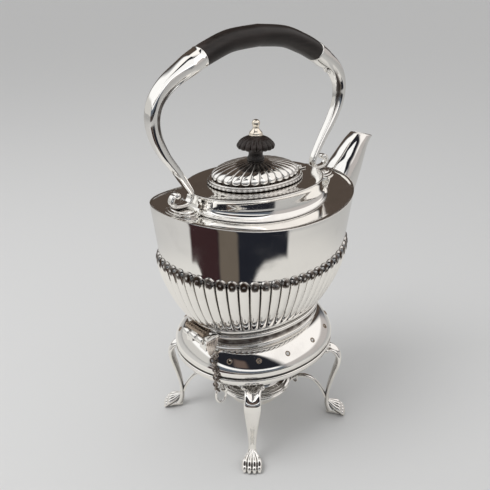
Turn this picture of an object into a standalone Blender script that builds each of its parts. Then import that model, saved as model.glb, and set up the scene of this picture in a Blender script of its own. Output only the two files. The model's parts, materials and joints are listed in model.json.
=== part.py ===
"""Half-fluted oval spirit kettle on its hinged stand.

All sizes are in metres. X runs from the handle's rear upright to the spout, Z is up, and the stand's
paws stand on Z = 0. The kettle tips on the front hinge once the rear pin is drawn.
Section 1 holds the driving sizes, section 2 the shape tools, and section 3 builds the pieces.
"""
import math

import bmesh
import bpy
from mathutils import Vector
from mathutils.geometry import interpolate_bezier

# 1. Driving sizes

GAP = 0.0003                        # room between two pieces that touch
CUT_OVERRUN = 0.0020                # how far a cutter runs past what it cuts
SHARP_ANGLE = math.radians(35)      # edges sharper than this are shaded as edges
SHEET = 0.0012                      # thickness of the silver-plated sheet

# Oval plan of the kettle and the stand
OVAL_POWER = 2.15                   # 2 is an ellipse, more is squarer
OVAL_SIDES = 36
ROUND_SIDES = 20

# The other ovals' half lengths and half widths, and the handle's span, as shares of the shoulder's
COLLAR_LENGTH_SHARE = 0.722
COLLAR_WIDTH_SHARE = 0.729
LID_LENGTH_SHARE = 0.467
LID_WIDTH_SHARE = 0.471
BOWL_FOOT_LENGTH_SHARE = 0.685
BOWL_FOOT_WIDTH_SHARE = 0.671
FOOT_LENGTH_SHARE = 0.709
FOOT_WIDTH_SHARE = 0.686
APRON_TOP_LENGTH_SHARE = 0.696
APRON_TOP_WIDTH_SHARE = 0.663
APRON_LENGTH_SHARE = 0.799
APRON_WIDTH_SHARE = 0.929
HANDLE_SPAN_SHARE = 1.054
PLINTH_REACH_SHARE = 0.832

# Bowl
SHOULDER_HALF_LENGTH = 0.0920
SHOULDER_HALF_WIDTH = 0.0700
SHOULDER_Z = 0.2166                 # top of the shoulder at its middle
END_RISE = 0.0100                   # how much higher the two ends of the shoulder stand
BAND_INSET = 0.0050                 # how far the plain band draws in down to the flutes
FLUTE_TOP_Z = 0.1740                # at the middle of a side
FLUTE_COUNT = 56
FLUTE_PROUD = 0.0036                # crest of a flute over the band
FLUTE_FOOT_Z = 0.1234
BOWL_FOOT_HALF_LENGTH = SHOULDER_HALF_LENGTH * BOWL_FOOT_LENGTH_SHARE
BOWL_FOOT_HALF_WIDTH = SHOULDER_HALF_WIDTH * BOWL_FOOT_WIDTH_SHARE
BOWL_BOTTOM_DISH = 0.0030           # how far the bottom domes up over the burner
BOWL_BEND = 1.35                    # how round the fluted part draws in to the foot

# Foot ring of the kettle
FOOT_Z = 0.1144                     # its underside, where it stands on the socket
FOOT_HALF_LENGTH = SHOULDER_HALF_LENGTH * FOOT_LENGTH_SHARE
FOOT_HALF_WIDTH = SHOULDER_HALF_WIDTH * FOOT_WIDTH_SHARE
FOOT_STEP = 0.0018                  # each step of its moulding
FOOT_RING_WIDTH = 0.0060

# Collar and mouth
COLLAR_BASE_HALF_LENGTH = SHOULDER_HALF_LENGTH * COLLAR_LENGTH_SHARE
COLLAR_BASE_HALF_WIDTH = SHOULDER_HALF_WIDTH * COLLAR_WIDTH_SHARE
COLLAR_COVE = 0.0045                # how far the base flares out from the wall
DECK_Z = 0.2350
DECK_BEAD = 0.0009
MOUTH_CLEARANCE = 0.0010

# Lid
LID_HALF_LENGTH = SHOULDER_HALF_LENGTH * LID_LENGTH_SHARE
LID_HALF_WIDTH = SHOULDER_HALF_WIDTH * LID_WIDTH_SHARE
LID_RIM_HEIGHT = 0.0034
LID_RIM_STEP = 0.0017
LID_SKIRT_DEPTH = 0.0045
LID_SKIRT_INSET = 0.0060
LID_FLUTE_COUNT = 28
LID_FLUTE_DEPTH = 0.0009
LID_DOME_RISE = 0.0118
LID_CROWN_RADIUS = 0.0085
LID_CROWN_FLAT_RADIUS = 0.0068

# Knob and finial
KNOB_RADIUS = 0.0156
KNOB_LOBES = 14
KNOB_LOBE_DEPTH = 0.0011
KNOB_STEM_RADIUS = 0.0066
KNOB_HEIGHT = 0.0195
STUD_RADIUS = 0.0016
FINIAL_RADIUS = 0.0058
FINIAL_HEIGHT = 0.0130
LID_NUT_RADIUS = 0.0045
LID_NUT_HEIGHT = 0.0025

# Lid hinge
LID_HINGE_RADIUS = 0.0018
LID_HINGE_PIN_RADIUS = 0.0008
LID_KNUCKLE_LENGTH = 0.0044
LID_HINGE_STANDOFF = 0.0036         # from the lid's rim to the hinge axis
LID_PIN_OVERHANG = 0.0008
LID_PLATE_LENGTH = 0.0050
LID_PLATE_THICKNESS = 0.0006        # less than the metal under the hinge pin

# Spout
SPOUT_WALL = 0.0011
SPOUT_ROOT_Z = 0.1470               # lowest point of its root on the bowl
SPOUT_REACH = 0.0570                # from the shoulder's end to the tip of the lip
SPOUT_TIP_Z = 0.2534                # back edge of the mouth
SPOUT_HALF_WIDTH = 0.0165
SPOUT_SIDES = 14

# Handle
HANDLE_HALF_SPAN = SHOULDER_HALF_LENGTH * HANDLE_SPAN_SHARE    # to the centre line at its widest
HANDLE_OFFSET = 0.0012              # the arch stands this far towards the spout
HANDLE_BASE_Z = 0.2220
FINGER_ROOM = 0.0549                # between the finial's tip and the grip's underside
SCROLL_SCALE = 0.1248               # height that the scrolls' shares are of
GRIP_DEPTH = 0.0160
GRIP_WIDTH = 0.0178
GRIP_REAR_RUN = 0.0430              # from the upright's widest place in to the rear end of the grip
GRIP_FRONT_RUN = 0.0310
GRIP_REAR_REACH = HANDLE_HALF_SPAN - GRIP_REAR_RUN
GRIP_FRONT_REACH = HANDLE_HALF_SPAN - GRIP_FRONT_RUN
SOCKET_WALL = 0.0014
TENON_LENGTH = 0.0100
RIVET_RADIUS = 0.0010
SOCKET_END_DEPTH = 0.0136           # of the upright, just under its socket
SOCKET_END_WIDTH = 0.0134
UPRIGHT_DEPTH = 0.0118
UPRIGHT_WIDTH = 0.0112
NECK_DEPTH = 0.0078
NECK_WIDTH = 0.0076
BEND_DEPTH = 0.0062                 # where the upright turns into its scroll
CURL_DEPTH = 0.0036                 # where the scroll starts to curl
SCROLL_DEPTH = 0.0030
SCROLL_WIDTH = 0.0062

# Plinths under the scrolls
PLINTH_REACH = SHOULDER_HALF_LENGTH * PLINTH_REACH_SHARE    # from the handle's middle to the plinth's
PLINTH_HALF_LENGTH = 0.0120
PLINTH_HALF_WIDTH = 0.0150
PLINTH_STEP = 0.0022

# Hinges between kettle and stand
HINGE_STANDOFF = 0.0036             # from the end of the kettle's foot to each hinge axis
HINGE_REACH = FOOT_HALF_LENGTH + HINGE_STANDOFF
HINGE_Z = 0.1124
HINGE_RADIUS = 0.0030
HINGE_PIN_RADIUS = 0.0013
HINGE_PIN_PLAY = 0.0002
HINGE_HALF_WIDTH = 0.0133
HINGE_MIDDLE_WIDTH = 0.0096         # the kettle's knuckle
CHEEK_REACH_SHARE = 0.2             # of the knuckle's radius, how far the cheeks run out under it
KNUCKLE_FOOT_ROOM = 0.0040          # free height between the kettle's knuckle and the foot under it
KNUCKLE_RUN = 0.0090                # from the hinge axis to where the stand's cheeks start
LUG_RUN = 0.0120                    # from the hinge axis to where the kettle's leaf starts
LUG_THICKNESS = 0.0030
LUG_HALF_WIDTH = 0.0125
PIN_NECK = 0.0035                   # pin between the hinge and its head
PIN_HEAD_RADIUS = 0.0034
PIN_HEAD_THICKNESS = 0.0038
PIN_TAIL = 0.0008
BAR_LENGTH = 0.0116
BAR_HEIGHT = 0.0028
BAR_WIDTH = 0.0042
BAR_RISE = 0.0068                   # bar over the pin's axis
BAR_SHIFT = 0.0023                  # bar towards the kettle
STALK_WIDTH = 0.0034

# Stand
SOCKET_SEAT_INSET = 0.0036
SOCKET_FOOT_Z = 0.1056
SOCKET_BEAD = 0.0022
APRON_TOP_HALF_LENGTH = SHOULDER_HALF_LENGTH * APRON_TOP_LENGTH_SHARE
APRON_TOP_HALF_WIDTH = SHOULDER_HALF_WIDTH * APRON_TOP_WIDTH_SHARE
APRON_HALF_LENGTH = SHOULDER_HALF_LENGTH * APRON_LENGTH_SHARE
APRON_HALF_WIDTH = SHOULDER_HALF_WIDTH * APRON_WIDTH_SHARE
APRON_WIDEST_Z = 0.0900
APRON_BEND = 1.45
APRON_RIM_Z = 0.0766
APRON_RIM_HEIGHT = 0.0072
APRON_RIM_THICKNESS = 0.0044
APRON_RIM_TUCK = 0.0030             # how far the rim draws in at its lower edge
VENT_RADIUS = 0.0019
VENT_Z = 0.0990
VENT_SIDES = 6
VENT_CUT_REACH = 0.0060             # how far a vent's cutter stands out on each side of the dome
VENT_PITCH = math.radians(22.5)
VENTS_A_SIDE = 6

# Legs, in the upright plane through each leg
LEG_ANGLE = math.radians(46.2)
LEG_ROOT_INSET = 0.0043             # from the apron's outside in to where the leg leaves the rim
KNEE_REACH = 0.0145                 # knee beyond the root
TOE_REACH = 0.0222                  # toes beyond the root
LEG_ROOT_WIDTH = 0.0180
KNEE_WIDTH = 0.0144
ANKLE_WIDTH = 0.0066
PAW_WIDTH = 0.0158
PAW_HEIGHT = 0.0118

# Burner and what carries it
BOWL_RADIUS = 0.0300
BOWL_DEPTH = 0.0268
BURNER_PLAY = 0.0006                # between the burner's bowl and the ring that it hangs in
BURNER_RING_BORE = BOWL_RADIUS + BURNER_PLAY
BURNER_RING_WIDTH = 0.0036
BURNER_RING_RADIUS = BURNER_RING_BORE + BURNER_RING_WIDTH
BURNER_RING_Z = 0.0335
BURNER_RING_HEIGHT = 0.0042
BRACKET_THICKNESS = 0.0026
BRACKET_WIDTH = 0.0050
BRACKET_ARCH_Z = 0.0412             # top of the bracket's curve
BRACKET_BASE_Z = 0.0105
BURNER_FLANGE_THICKNESS = 0.0028
DRUM_INSET = 0.0030                 # from the bowl's radius in to the drum's
DRUM_RADIUS = BOWL_RADIUS - DRUM_INSET
DRUM_HEIGHT = 0.0110
DRUM_CROWN = 0.0035
WICK_TUBE_RADIUS = 0.0060
WICK_TUBE_HEIGHT = 0.0120
WICK_RADIUS = 0.0045
WICK_SHOWS = 0.0025

# Chain from the loose pin to the apron
SHELL_HEIGHT = 0.0138
SHELL_WIDTH = 0.0115
SHELL_THICKNESS = 0.0012
SHELL_LEAN = -0.0016                # how far its lower end stands away from the kettle
SHELL_EYE_RADIUS = 0.0018
RING_WIRE = 0.0005
PIN_RING_RADIUS = 0.0025
PIN_RING_TURN = math.radians(-60)   # plane of the ring, seen from above
LINK_LENGTH = 0.0042
LINK_WIDTH = 0.0030
LINK_WIRE = 0.00045
LINK_BITE_SHARE = 0.45              # how far two links press into each other, as a share of their wire
END_LINK_ROOM = 0.0001              # more room in the end links than the gap
CHAIN_STAND_OFF = 0.0022            # from the apron to the chain's middle
CHAIN_SWING = 0.0012                # how far the chain hangs beside its lower end
CHAIN_RING_HALF_HEIGHT = 0.0074
CHAIN_RING_HALF_WIDTH = 0.0046
CHAIN_RING_WIRE = 0.00075
CHAIN_RING_TURN = math.radians(-15)
EYELET_RADIUS = 0.0034
EYELET_WIRE = 0.0008
EYELET_TURN = math.radians(-75)
EYELET_FROM_END = 0.0115            # from the apron's rear end
EYELET_INSET = 0.0015               # under the rim, from its outer edge

SILVER = (0.83, 0.82, 0.79)
AGED_SILVER = (0.62, 0.58, 0.52)
EBONY = (0.035, 0.028, 0.026)
COTTON = (0.80, 0.76, 0.66)


# 2. Shape tools

def clear_scene():
    for thing in list(bpy.data.objects):
        bpy.data.objects.remove(thing, do_unlink=True)


def finish_for(name, colour, metallic, roughness):
    """The piece's own material."""
    material = bpy.data.materials.new(name)
    material.use_nodes = True
    shader = material.node_tree.nodes["Principled BSDF"]
    shader.inputs["Base Color"].default_value = (*colour, 1)
    shader.inputs["Metallic"].default_value = metallic
    shader.inputs["Roughness"].default_value = roughness
    return material


def piece(name, mesh_data, parent, colour=SILVER, metallic=1, roughness=0.12):
    """One named piece. Its points are written round the kettle's axis and kept relative to its parent."""
    points, faces = mesh_data
    anchor = Vector(parent["anchor"])
    mesh = bpy.data.meshes.new(name)
    mesh.from_pydata([Vector(p) - anchor for p in points], [], faces)
    mesh.validate()
    tool = bmesh.new()
    tool.from_mesh(mesh)
    bmesh.ops.recalc_face_normals(tool, faces=tool.faces)
    tool.to_mesh(mesh)
    tool.free()
    mesh.shade_smooth()
    mesh.set_sharp_from_angle(angle=SHARP_ANGLE)
    mesh.materials.append(finish_for(name, colour, metallic, roughness))
    made = bpy.data.objects.new(name, mesh)
    bpy.context.scene.collection.objects.link(made)
    made.parent = parent
    return made


def guide(name, mesh_data, parent):
    """A hidden solid that only cuts or joins."""
    made = piece(name, mesh_data, parent)
    made.hide_render = True
    made.display_type = "WIRE"
    return made


def boolean(target, other, operation):
    step = target.modifiers.new(other.name, "BOOLEAN")
    step.operation = operation
    step.solver = "EXACT"
    step.object = other


def cut(target, *cutters):
    for cutter in cutters:
        boolean(target, cutter, "DIFFERENCE")


def join(target, *others):
    for other in others:
        boolean(target, other, "UNION")


def anchor_empty(name, anchor, parent=None):
    """An empty at a joint or at the stand's middle; pieces under it turn or slide with it."""
    made = bpy.data.objects.new(name, None)
    bpy.context.scene.collection.objects.link(made)
    base = Vector(parent["anchor"]) if parent else middle_of_length()
    made.parent = parent
    made.location = Vector(anchor) - base
    made["anchor"] = tuple(anchor)
    return made


def both(*meshes):
    """Several closed shapes as one mesh."""
    points, faces = [], []
    for some_points, some_faces in meshes:
        start = len(points)
        points.extend(some_points)
        faces.extend([[start + i for i in face] for face in some_faces])
    return points, faces


def loft(rings, closed=False):
    """Skins rings of equal count. Open ends are closed by a fan, and a one-point ring is a tip."""
    points, starts = [], []
    for ring in rings:
        starts.append(len(points))
        points.extend(ring)
    faces = []
    pairs = list(zip(range(len(rings)), range(1, len(rings))))
    if closed:
        pairs.append((len(rings) - 1, 0))
    for low, high in pairs:
        a, b = starts[low], starts[high]
        count = max(len(rings[low]), len(rings[high]))
        for i in range(count):
            j = (i + 1) % count
            if len(rings[low]) == 1:
                faces.append([a, b + j, b + i])
            elif len(rings[high]) == 1:
                faces.append([a + i, a + j, b])
            else:
                faces.append([a + i, a + j, b + j, b + i])
    if not closed:
        for end in (0, len(rings) - 1):
            if len(rings[end]) > 1:
                middle = sum((Vector(p) for p in rings[end]), Vector()) / len(rings[end])
                points.append(tuple(middle))
                tip = len(points) - 1
                count = len(rings[end])
                for i in range(count):
                    faces.append([starts[end] + i, starts[end] + (i + 1) % count, tip])
    return points, faces


def oval_point(half_length, half_width, angle):
    c, s = math.cos(angle), math.sin(angle)
    power = 2 / OVAL_POWER
    return (half_length * math.copysign(abs(c) ** power, c), half_width * math.copysign(abs(s) ** power, s))


def even_angles(half_length, half_width, count):
    """Angles that space points evenly along the oval, starting at its front end."""
    fine = count * 24
    turn = [math.tau * i / fine for i in range(fine + 1)]
    spots = [Vector(oval_point(half_length, half_width, a)) for a in turn]
    run = [0]
    for before, after in zip(spots, spots[1:]):
        run.append(run[-1] + (after - before).length)
    angles, k = [], 0
    for i in range(count):
        goal = run[-1] * i / count
        while run[k + 1] < goal:
            k += 1
        span = run[k + 1] - run[k]
        angles.append(turn[k] + (turn[k + 1] - turn[k]) * (goal - run[k]) / span)
    return angles


def end_rise(x):
    """How much higher the shoulder stands at a distance along the kettle."""
    return END_RISE * (x / SHOULDER_HALF_LENGTH) ** 2


def oval(half_length, half_width, z, rise_share=0, angles=None, middle_x=0):
    """A level oval ring, or one whose ends rise with the shoulder."""
    if angles is None:
        angles = [math.tau * i / OVAL_SIDES for i in range(OVAL_SIDES)]
    ring = []
    for angle in angles:
        x, y = oval_point(half_length, half_width, angle)
        ring.append((middle_x + x, y, z + rise_share * end_rise(middle_x + x)))
    return ring


def circle(radius, z, sides=ROUND_SIDES, middle=(0, 0)):
    if radius == 0:
        return [(middle[0], middle[1], z)]
    turn = [math.tau * i / sides for i in range(sides)]
    return [(middle[0] + radius * math.cos(a), middle[1] + radius * math.sin(a), z) for a in turn]


def turned(profile, sides=ROUND_SIDES, closed=False, middle=(0, 0)):
    return loft([circle(r, z, sides, middle) for r, z in profile], closed)


def rod_y(radius, start, end, x, z, sides=ROUND_SIDES):
    """A round bar along Y."""
    turn = [math.tau * i / sides for i in range(sides)]
    ends = [[(x + radius * math.cos(a), y, z + radius * math.sin(a)) for a in turn] for y in (start, end)]
    return loft(ends)


def tube_y(radius, bore, start, end, x, z, sides=ROUND_SIDES):
    """A round sleeve along Y."""
    turn = [math.tau * i / sides for i in range(sides)]
    rings = []
    for r, y in ((radius, start), (radius, end), (bore, end), (bore, start)):
        rings.append([(x + r * math.cos(a), y, z + r * math.sin(a)) for a in turn])
    return loft(rings, closed=True)


def block(low, high):
    (x0, y0, z0), (x1, y1, z1) = low, high
    bottom = [(x0, y0, z0), (x1, y0, z0), (x1, y1, z0), (x0, y1, z0)]
    top = [(x0, y0, z1), (x1, y0, z1), (x1, y1, z1), (x0, y1, z1)]
    return bottom + top, [[0, 3, 2, 1], [4, 5, 6, 7], [0, 1, 5, 4], [1, 2, 6, 5], [2, 3, 7, 6], [3, 0, 4, 7]]


def smooth_path(knots, steps):
    """A smooth curve through the knots, with the given number of steps between two of them."""
    knots = [Vector(k) for k in knots]
    path = []
    for i in range(len(knots) - 1):
        before = knots[max(i - 1, 0)]
        after = knots[min(i + 2, len(knots) - 1)]
        start, end = knots[i], knots[i + 1]
        handle_a = start + (end - before) / 6
        handle_b = end - (after - start) / 6
        run = interpolate_bezier(start, handle_a, handle_b, end, steps + 1)
        path.extend(run[:-1])
    path.append(knots[-1])
    return path


def blend(table, share):
    """Reads a table of (share, value) pairs at a share between them."""
    for (s0, v0), (s1, v1) in zip(table, table[1:]):
        if share <= s1:
            k = max(0, (share - s0) / (s1 - s0))
            return v0 + (v1 - v0) * k
    return table[-1][1]


def band_section(centre, along, depth, width, outline):
    """A section square to a line in the XZ plane.

    An outline's first share runs outwards, its second along Y.
    """
    out = Vector((-along.z, 0, along.x))
    return [tuple(centre + out * (u * depth) + Vector((0, v * width, 0))) for u, v in outline]


def link(centre, across, up, half_width, half_height, wire, sides=10, wire_sides=4):
    """A closed link of round wire, in the plane of the two given directions."""
    centre, across, up = Vector(centre), Vector(across), Vector(up)
    normal = across.cross(up)
    rings = []
    for i in range(sides):
        a = math.tau * i / sides
        out = across * math.cos(a) + up * math.sin(a)
        spot = centre + across * (half_width * math.cos(a)) + up * (half_height * math.sin(a))
        turn = [math.tau * (j + 0.5) / wire_sides for j in range(wire_sides)]
        rings.append([tuple(spot + out * (wire * math.cos(b)) + normal * (wire * math.sin(b))) for b in turn])
    return loft(rings, closed=True)


def level(turn):
    """The level direction at an angle seen from above."""
    return Vector((math.cos(turn), math.sin(turn), 0))


# 3. Pieces

# Bowl

BAND_HALF_LENGTH = SHOULDER_HALF_LENGTH - BAND_INSET
BAND_HALF_WIDTH = SHOULDER_HALF_WIDTH - BAND_INSET
CREST_ANGLES = even_angles(BAND_HALF_LENGTH, BAND_HALF_WIDTH, FLUTE_COUNT * 2)
FLUTE_ROW_SHARES = (0, 0.05, 0.2, 0.42, 0.66, 0.86, 1)
INSIDE_ROW_SHARES = (0.42, 0.86)
FLUTE_SWELL_SHARES = ((0, 0), (0.05, 0.85), (0.2, 1), (0.5, 0.85), (0.86, 0.5), (1, 0))
PROUD_LIP_SHARE = 0.06              # share of the band over which the bowl's envelope steps in


def bowl_ring(share, out=0, crest=0):
    """The bowl below the band, from the flutes' tops at share 0 to their feet at share 1."""
    drawn = max(0, 1 - share ** BOWL_BEND) ** (1 / BOWL_BEND)
    half_length = BOWL_FOOT_HALF_LENGTH + (BAND_HALF_LENGTH - BOWL_FOOT_HALF_LENGTH) * drawn + out
    half_width = BOWL_FOOT_HALF_WIDTH + (BAND_HALF_WIDTH - BOWL_FOOT_HALF_WIDTH) * drawn + out
    z = FLUTE_TOP_Z + (FLUTE_FOOT_Z - FLUTE_TOP_Z) * share
    low = oval(half_length, half_width, z, 1 - share, CREST_ANGLES)
    if crest == 0:
        return low
    high = oval(half_length + crest, half_width + crest, z, 1 - share, CREST_ANGLES)
    return [low[i] if i % 2 else high[i] for i in range(len(low))]


def band_ring(share, out=0, drop=0):
    """The plain band, from the shoulder at share 0 to the flutes' tops at share 1."""
    half_length = SHOULDER_HALF_LENGTH - BAND_INSET * share + out
    half_width = SHOULDER_HALF_WIDTH - BAND_INSET * share + out
    z = SHOULDER_Z - drop + (FLUTE_TOP_Z - SHOULDER_Z + drop) * share
    return oval(half_length, half_width, z, 1, CREST_ANGLES)


def kettle_body(parent):
    """The bowl: plain band, flutes and bottom, open at the top."""
    drop = SHEET + GAP
    outer = []
    for share in reversed(FLUTE_ROW_SHARES):
        outer.append(bowl_ring(share, crest=FLUTE_PROUD * blend(FLUTE_SWELL_SHARES, share)))
    outer += [band_ring(s, drop=drop) for s in (0.5, 0)]
    inner = [band_ring(s, out=-SHEET, drop=drop) for s in (0, 1)]
    inner += [bowl_ring(s, out=-SHEET) for s in INSIDE_ROW_SHARES]
    floor_z = FLUTE_FOOT_Z + SHEET
    inner_length = BOWL_FOOT_HALF_LENGTH - SHEET
    inner_width = BOWL_FOOT_HALF_WIDTH - SHEET
    inner += [oval(inner_length, inner_width, floor_z, 0, CREST_ANGLES)]
    inner += [[(0, 0, floor_z + BOWL_BOTTOM_DISH)]]
    bottom = [[(0, 0, FLUTE_FOOT_Z + BOWL_BOTTOM_DISH)]]
    body = piece("kettle_body", loft(bottom + outer + inner), parent)
    cut(body, guide("guide_spout_way", spout_bore(CUT_OVERRUN), parent))
    return body


def bowl_envelope(out):
    """A plain solid round the bowl's crests, for cutting what meets the bowl."""
    proud = FLUTE_PROUD + out
    rings = [bowl_ring(s, out=proud) for s in reversed(FLUTE_ROW_SHARES[1:])]
    rings += [band_ring(1, out=proud), band_ring(1 - PROUD_LIP_SHARE, out=out), band_ring(0, out=out)]
    return loft(rings)


FOOT_STEP_SHARES = ((2, 0), (1, 0.22), (1, 0.5), (0, 0.62), (0, 1))


def foot_ring(parent):
    """Two-stepped moulding under the bowl."""
    top = FLUTE_FOOT_Z - GAP
    height = top - FOOT_Z
    inner_length = FOOT_HALF_LENGTH - FOOT_RING_WIDTH
    inner_width = FOOT_HALF_WIDTH - FOOT_RING_WIDTH
    rings = []
    for steps_in, share in FOOT_STEP_SHARES:
        inset = FOOT_STEP * steps_in
        rings.append(oval(FOOT_HALF_LENGTH - inset, FOOT_HALF_WIDTH - inset, top - height * share))
    rings += [oval(inner_length, inner_width, FOOT_Z), oval(inner_length, inner_width, top)]
    return piece("foot_ring", loft(rings, closed=True), parent)


def shoulder(parent):
    """The flat top plate between the rim and the collar."""
    hole_length = COLLAR_BASE_HALF_LENGTH - COLLAR_COVE
    hole_width = COLLAR_BASE_HALF_WIDTH - COLLAR_COVE
    rings = []
    for z, shares in ((SHOULDER_Z, (0, 0.5, 1)), (SHOULDER_Z - SHEET, (1, 0.5, 0))):
        for share in shares:
            length = SHOULDER_HALF_LENGTH + (hole_length - SHOULDER_HALF_LENGTH) * share
            width = SHOULDER_HALF_WIDTH + (hole_width - SHOULDER_HALF_WIDTH) * share
            rings.append(oval(length, width, z, 1, CREST_ANGLES[::2]))
    return piece("shoulder", loft(rings, closed=True), parent)


# Collar

COVE_SHARES = ((1, 0), (0.95, 0.06), (0.45, 0.14), (0.12, 0.3), (0, 0.5), (0, 0.93))
DECK_BEAD_SHARE = 0.96              # height of the bead's middle on the wall
INSIDE_COVE_SHARE = 0.38            # height up to which the wall's inside is straight
DECK_HALF_LENGTH = COLLAR_BASE_HALF_LENGTH - COLLAR_COVE
DECK_HALF_WIDTH = COLLAR_BASE_HALF_WIDTH - COLLAR_COVE
MOUTH_HALF_LENGTH = LID_HALF_LENGTH - LID_SKIRT_INSET + MOUTH_CLEARANCE
MOUTH_HALF_WIDTH = LID_HALF_WIDTH - LID_SKIRT_INSET + MOUTH_CLEARANCE


def collar_ring(flare, height, out=0, drop=0):
    """A ring of the collar's wall: height 0 lies on the shoulder and 1 is the level deck."""
    low = oval(DECK_HALF_LENGTH + COLLAR_COVE * flare + out, DECK_HALF_WIDTH + COLLAR_COVE * flare + out,
               SHOULDER_Z + GAP - drop, 1)
    return [(x, y, z + (DECK_Z - z) * height) for x, y, z in low]


def collar(parent):
    """Raised oval neck with a flared base, a bead round its deck and the mouth for the lid."""
    outer = [collar_ring(flare, height) for flare, height in COVE_SHARES]
    bead = [collar_ring(DECK_BEAD / COLLAR_COVE, DECK_BEAD_SHARE), collar_ring(0, 1)]
    deck = [oval(MOUTH_HALF_LENGTH, MOUTH_HALF_WIDTH, DECK_Z)]
    mouth_lip = DECK_Z - LID_SKIRT_DEPTH
    deck += [oval(MOUTH_HALF_LENGTH, MOUTH_HALF_WIDTH, mouth_lip)]
    deck += [oval(MOUTH_HALF_LENGTH + SHEET, MOUTH_HALF_WIDTH + SHEET, mouth_lip)]
    deck += [oval(MOUTH_HALF_LENGTH + SHEET, MOUTH_HALF_WIDTH + SHEET, DECK_Z - SHEET)]
    under = [oval(DECK_HALF_LENGTH - SHEET, DECK_HALF_WIDTH - SHEET, DECK_Z - SHEET)]
    under += [collar_ring(-SHEET / COLLAR_COVE, INSIDE_COVE_SHARE), collar_ring(-SHEET / COLLAR_COVE, 0)]
    return piece("collar", loft(outer + bead + deck + under, closed=True), parent)


def collar_envelope(out):
    """A plain solid round the collar, for cutting the plinths."""
    rings = [collar_ring(1, 0, out, CUT_OVERRUN)]
    rings += [collar_ring(flare, height, out) for flare, height in COVE_SHARES]
    return loft(rings)


# Lid

LID_Z = DECK_Z + GAP
LID_ANGLES = even_angles(LID_HALF_LENGTH, LID_HALF_WIDTH, LID_FLUTE_COUNT * 2)
DOME_INSET = 2 * LID_RIM_STEP
DOME_Z = LID_Z + LID_RIM_HEIGHT + GAP
DOME_SHARES = ((1, 0), (1, 0.1), (0.94, 0.37), (0.8, 0.6), (0.54, 0.8), (0.2, 0.95))
DOME_FLUTE_SHARES = ((0, 1), (0.1, 1), (0.34, 1), (0.96, 0.3), (1, 0))


def lid_rim(parent):
    """Stepped rim that rests on the deck, with the skirt that drops into the mouth."""
    wide = (LID_HALF_LENGTH, LID_HALF_WIDTH)
    skirt = (LID_HALF_LENGTH - LID_SKIRT_INSET, LID_HALF_WIDTH - LID_SKIRT_INSET)

    def ring(base, inset, z):
        return oval(base[0] - inset, base[1] - inset, z)

    step_z = LID_Z + LID_RIM_HEIGHT / 2
    top_z = LID_Z + LID_RIM_HEIGHT
    rings = [ring(wide, 0, LID_Z), ring(wide, 0, step_z - DECK_BEAD), ring(wide, LID_RIM_STEP / 2, step_z)]
    rings += [ring(wide, LID_RIM_STEP, top_z), ring(skirt, SHEET, top_z)]
    rings += [ring(skirt, SHEET, DECK_Z - LID_SKIRT_DEPTH), ring(skirt, 0, DECK_Z - LID_SKIRT_DEPTH)]
    rings += [ring(skirt, 0, LID_Z)]
    return piece("lid_rim", loft(rings, closed=True), parent)


def dome_ring(share, height, out=0, flute=0):
    """A ring of the dome, from its oval edge to its round crown."""
    length = LID_CROWN_RADIUS + (LID_HALF_LENGTH - DOME_INSET - LID_CROWN_RADIUS) * share + out
    width = LID_CROWN_RADIUS + (LID_HALF_WIDTH - DOME_INSET - LID_CROWN_RADIUS) * share + out
    z = DOME_Z + LID_DOME_RISE * height
    low = oval(length - flute, width - flute, z, 0, LID_ANGLES)
    high = oval(length, width, z, 0, LID_ANGLES)
    return [low[i] if i % 2 else high[i] for i in range(len(low))]


def lid_dome(parent):
    """Fluted dome on the rim, with the hole for the finial's stud."""
    outer = [dome_ring(s, h, flute=LID_FLUTE_DEPTH * blend(DOME_FLUTE_SHARES, h)) for s, h in DOME_SHARES]
    top_z = DOME_Z + LID_DOME_RISE
    crown = [circle(LID_CROWN_FLAT_RADIUS, top_z, len(LID_ANGLES))]
    crown += [circle(STUD_RADIUS + GAP, top_z, len(LID_ANGLES))]
    crown += [circle(STUD_RADIUS + GAP, top_z - 2 * SHEET, len(LID_ANGLES))]
    inside = [dome_ring(s, h - 2 * SHEET / LID_DOME_RISE, -2 * SHEET) for s, h in DOME_SHARES[5:2:-2]]
    edge = [dome_ring(1, 0, -2 * SHEET)]
    return piece("lid_dome", loft(outer + crown + inside + edge, closed=True), parent)


KNOB_Z = DOME_Z + LID_DOME_RISE + GAP
KNOB_STEM_SHARES = ((1, 0), (1, 0.07), (0.8, 0.16), (0.84, 0.36), (1, 0.46))
KNOB_CAP_SHARES = ((0.84, 0.6), (1, 0.74), (0.9, 0.86), (0.62, 0.96), (0.38, 1))
KNOB_SCALLOP_SHARES = ((0, 0), (0.46, 0), (0.6, 0.7), (0.74, 1), (0.96, 0.6), (1, 0))


def knob(parent):
    """Ebony mushroom: waisted stem under a scalloped cap, bored for the stud."""
    count = KNOB_LOBES * 2
    rings = []
    outline = [(KNOB_STEM_RADIUS * share, height) for share, height in KNOB_STEM_SHARES]
    outline += [(KNOB_RADIUS * share, height) for share, height in KNOB_CAP_SHARES]
    for radius, height in outline:
        notch = KNOB_LOBE_DEPTH * blend(KNOB_SCALLOP_SHARES, height)
        high = circle(radius, KNOB_Z + KNOB_HEIGHT * height, count)
        low = circle(radius - notch, KNOB_Z + KNOB_HEIGHT * height, count)
        rings.append([low[i] if i % 2 else high[i] for i in range(count)])
    bore = STUD_RADIUS + GAP
    rings += [circle(bore, KNOB_Z + KNOB_HEIGHT, count), circle(bore, KNOB_Z, count)]
    return piece("knob", loft(rings, closed=True), parent, EBONY, 0, 0.35)


FINIAL_SHARES = ((1, 0), (1, 0.1), (0.72, 0.22), (0.42, 0.36), (0.34, 0.5), (0.52, 0.62), (0.6, 0.76),
                 (0.44, 0.92), (0, 1))


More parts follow.
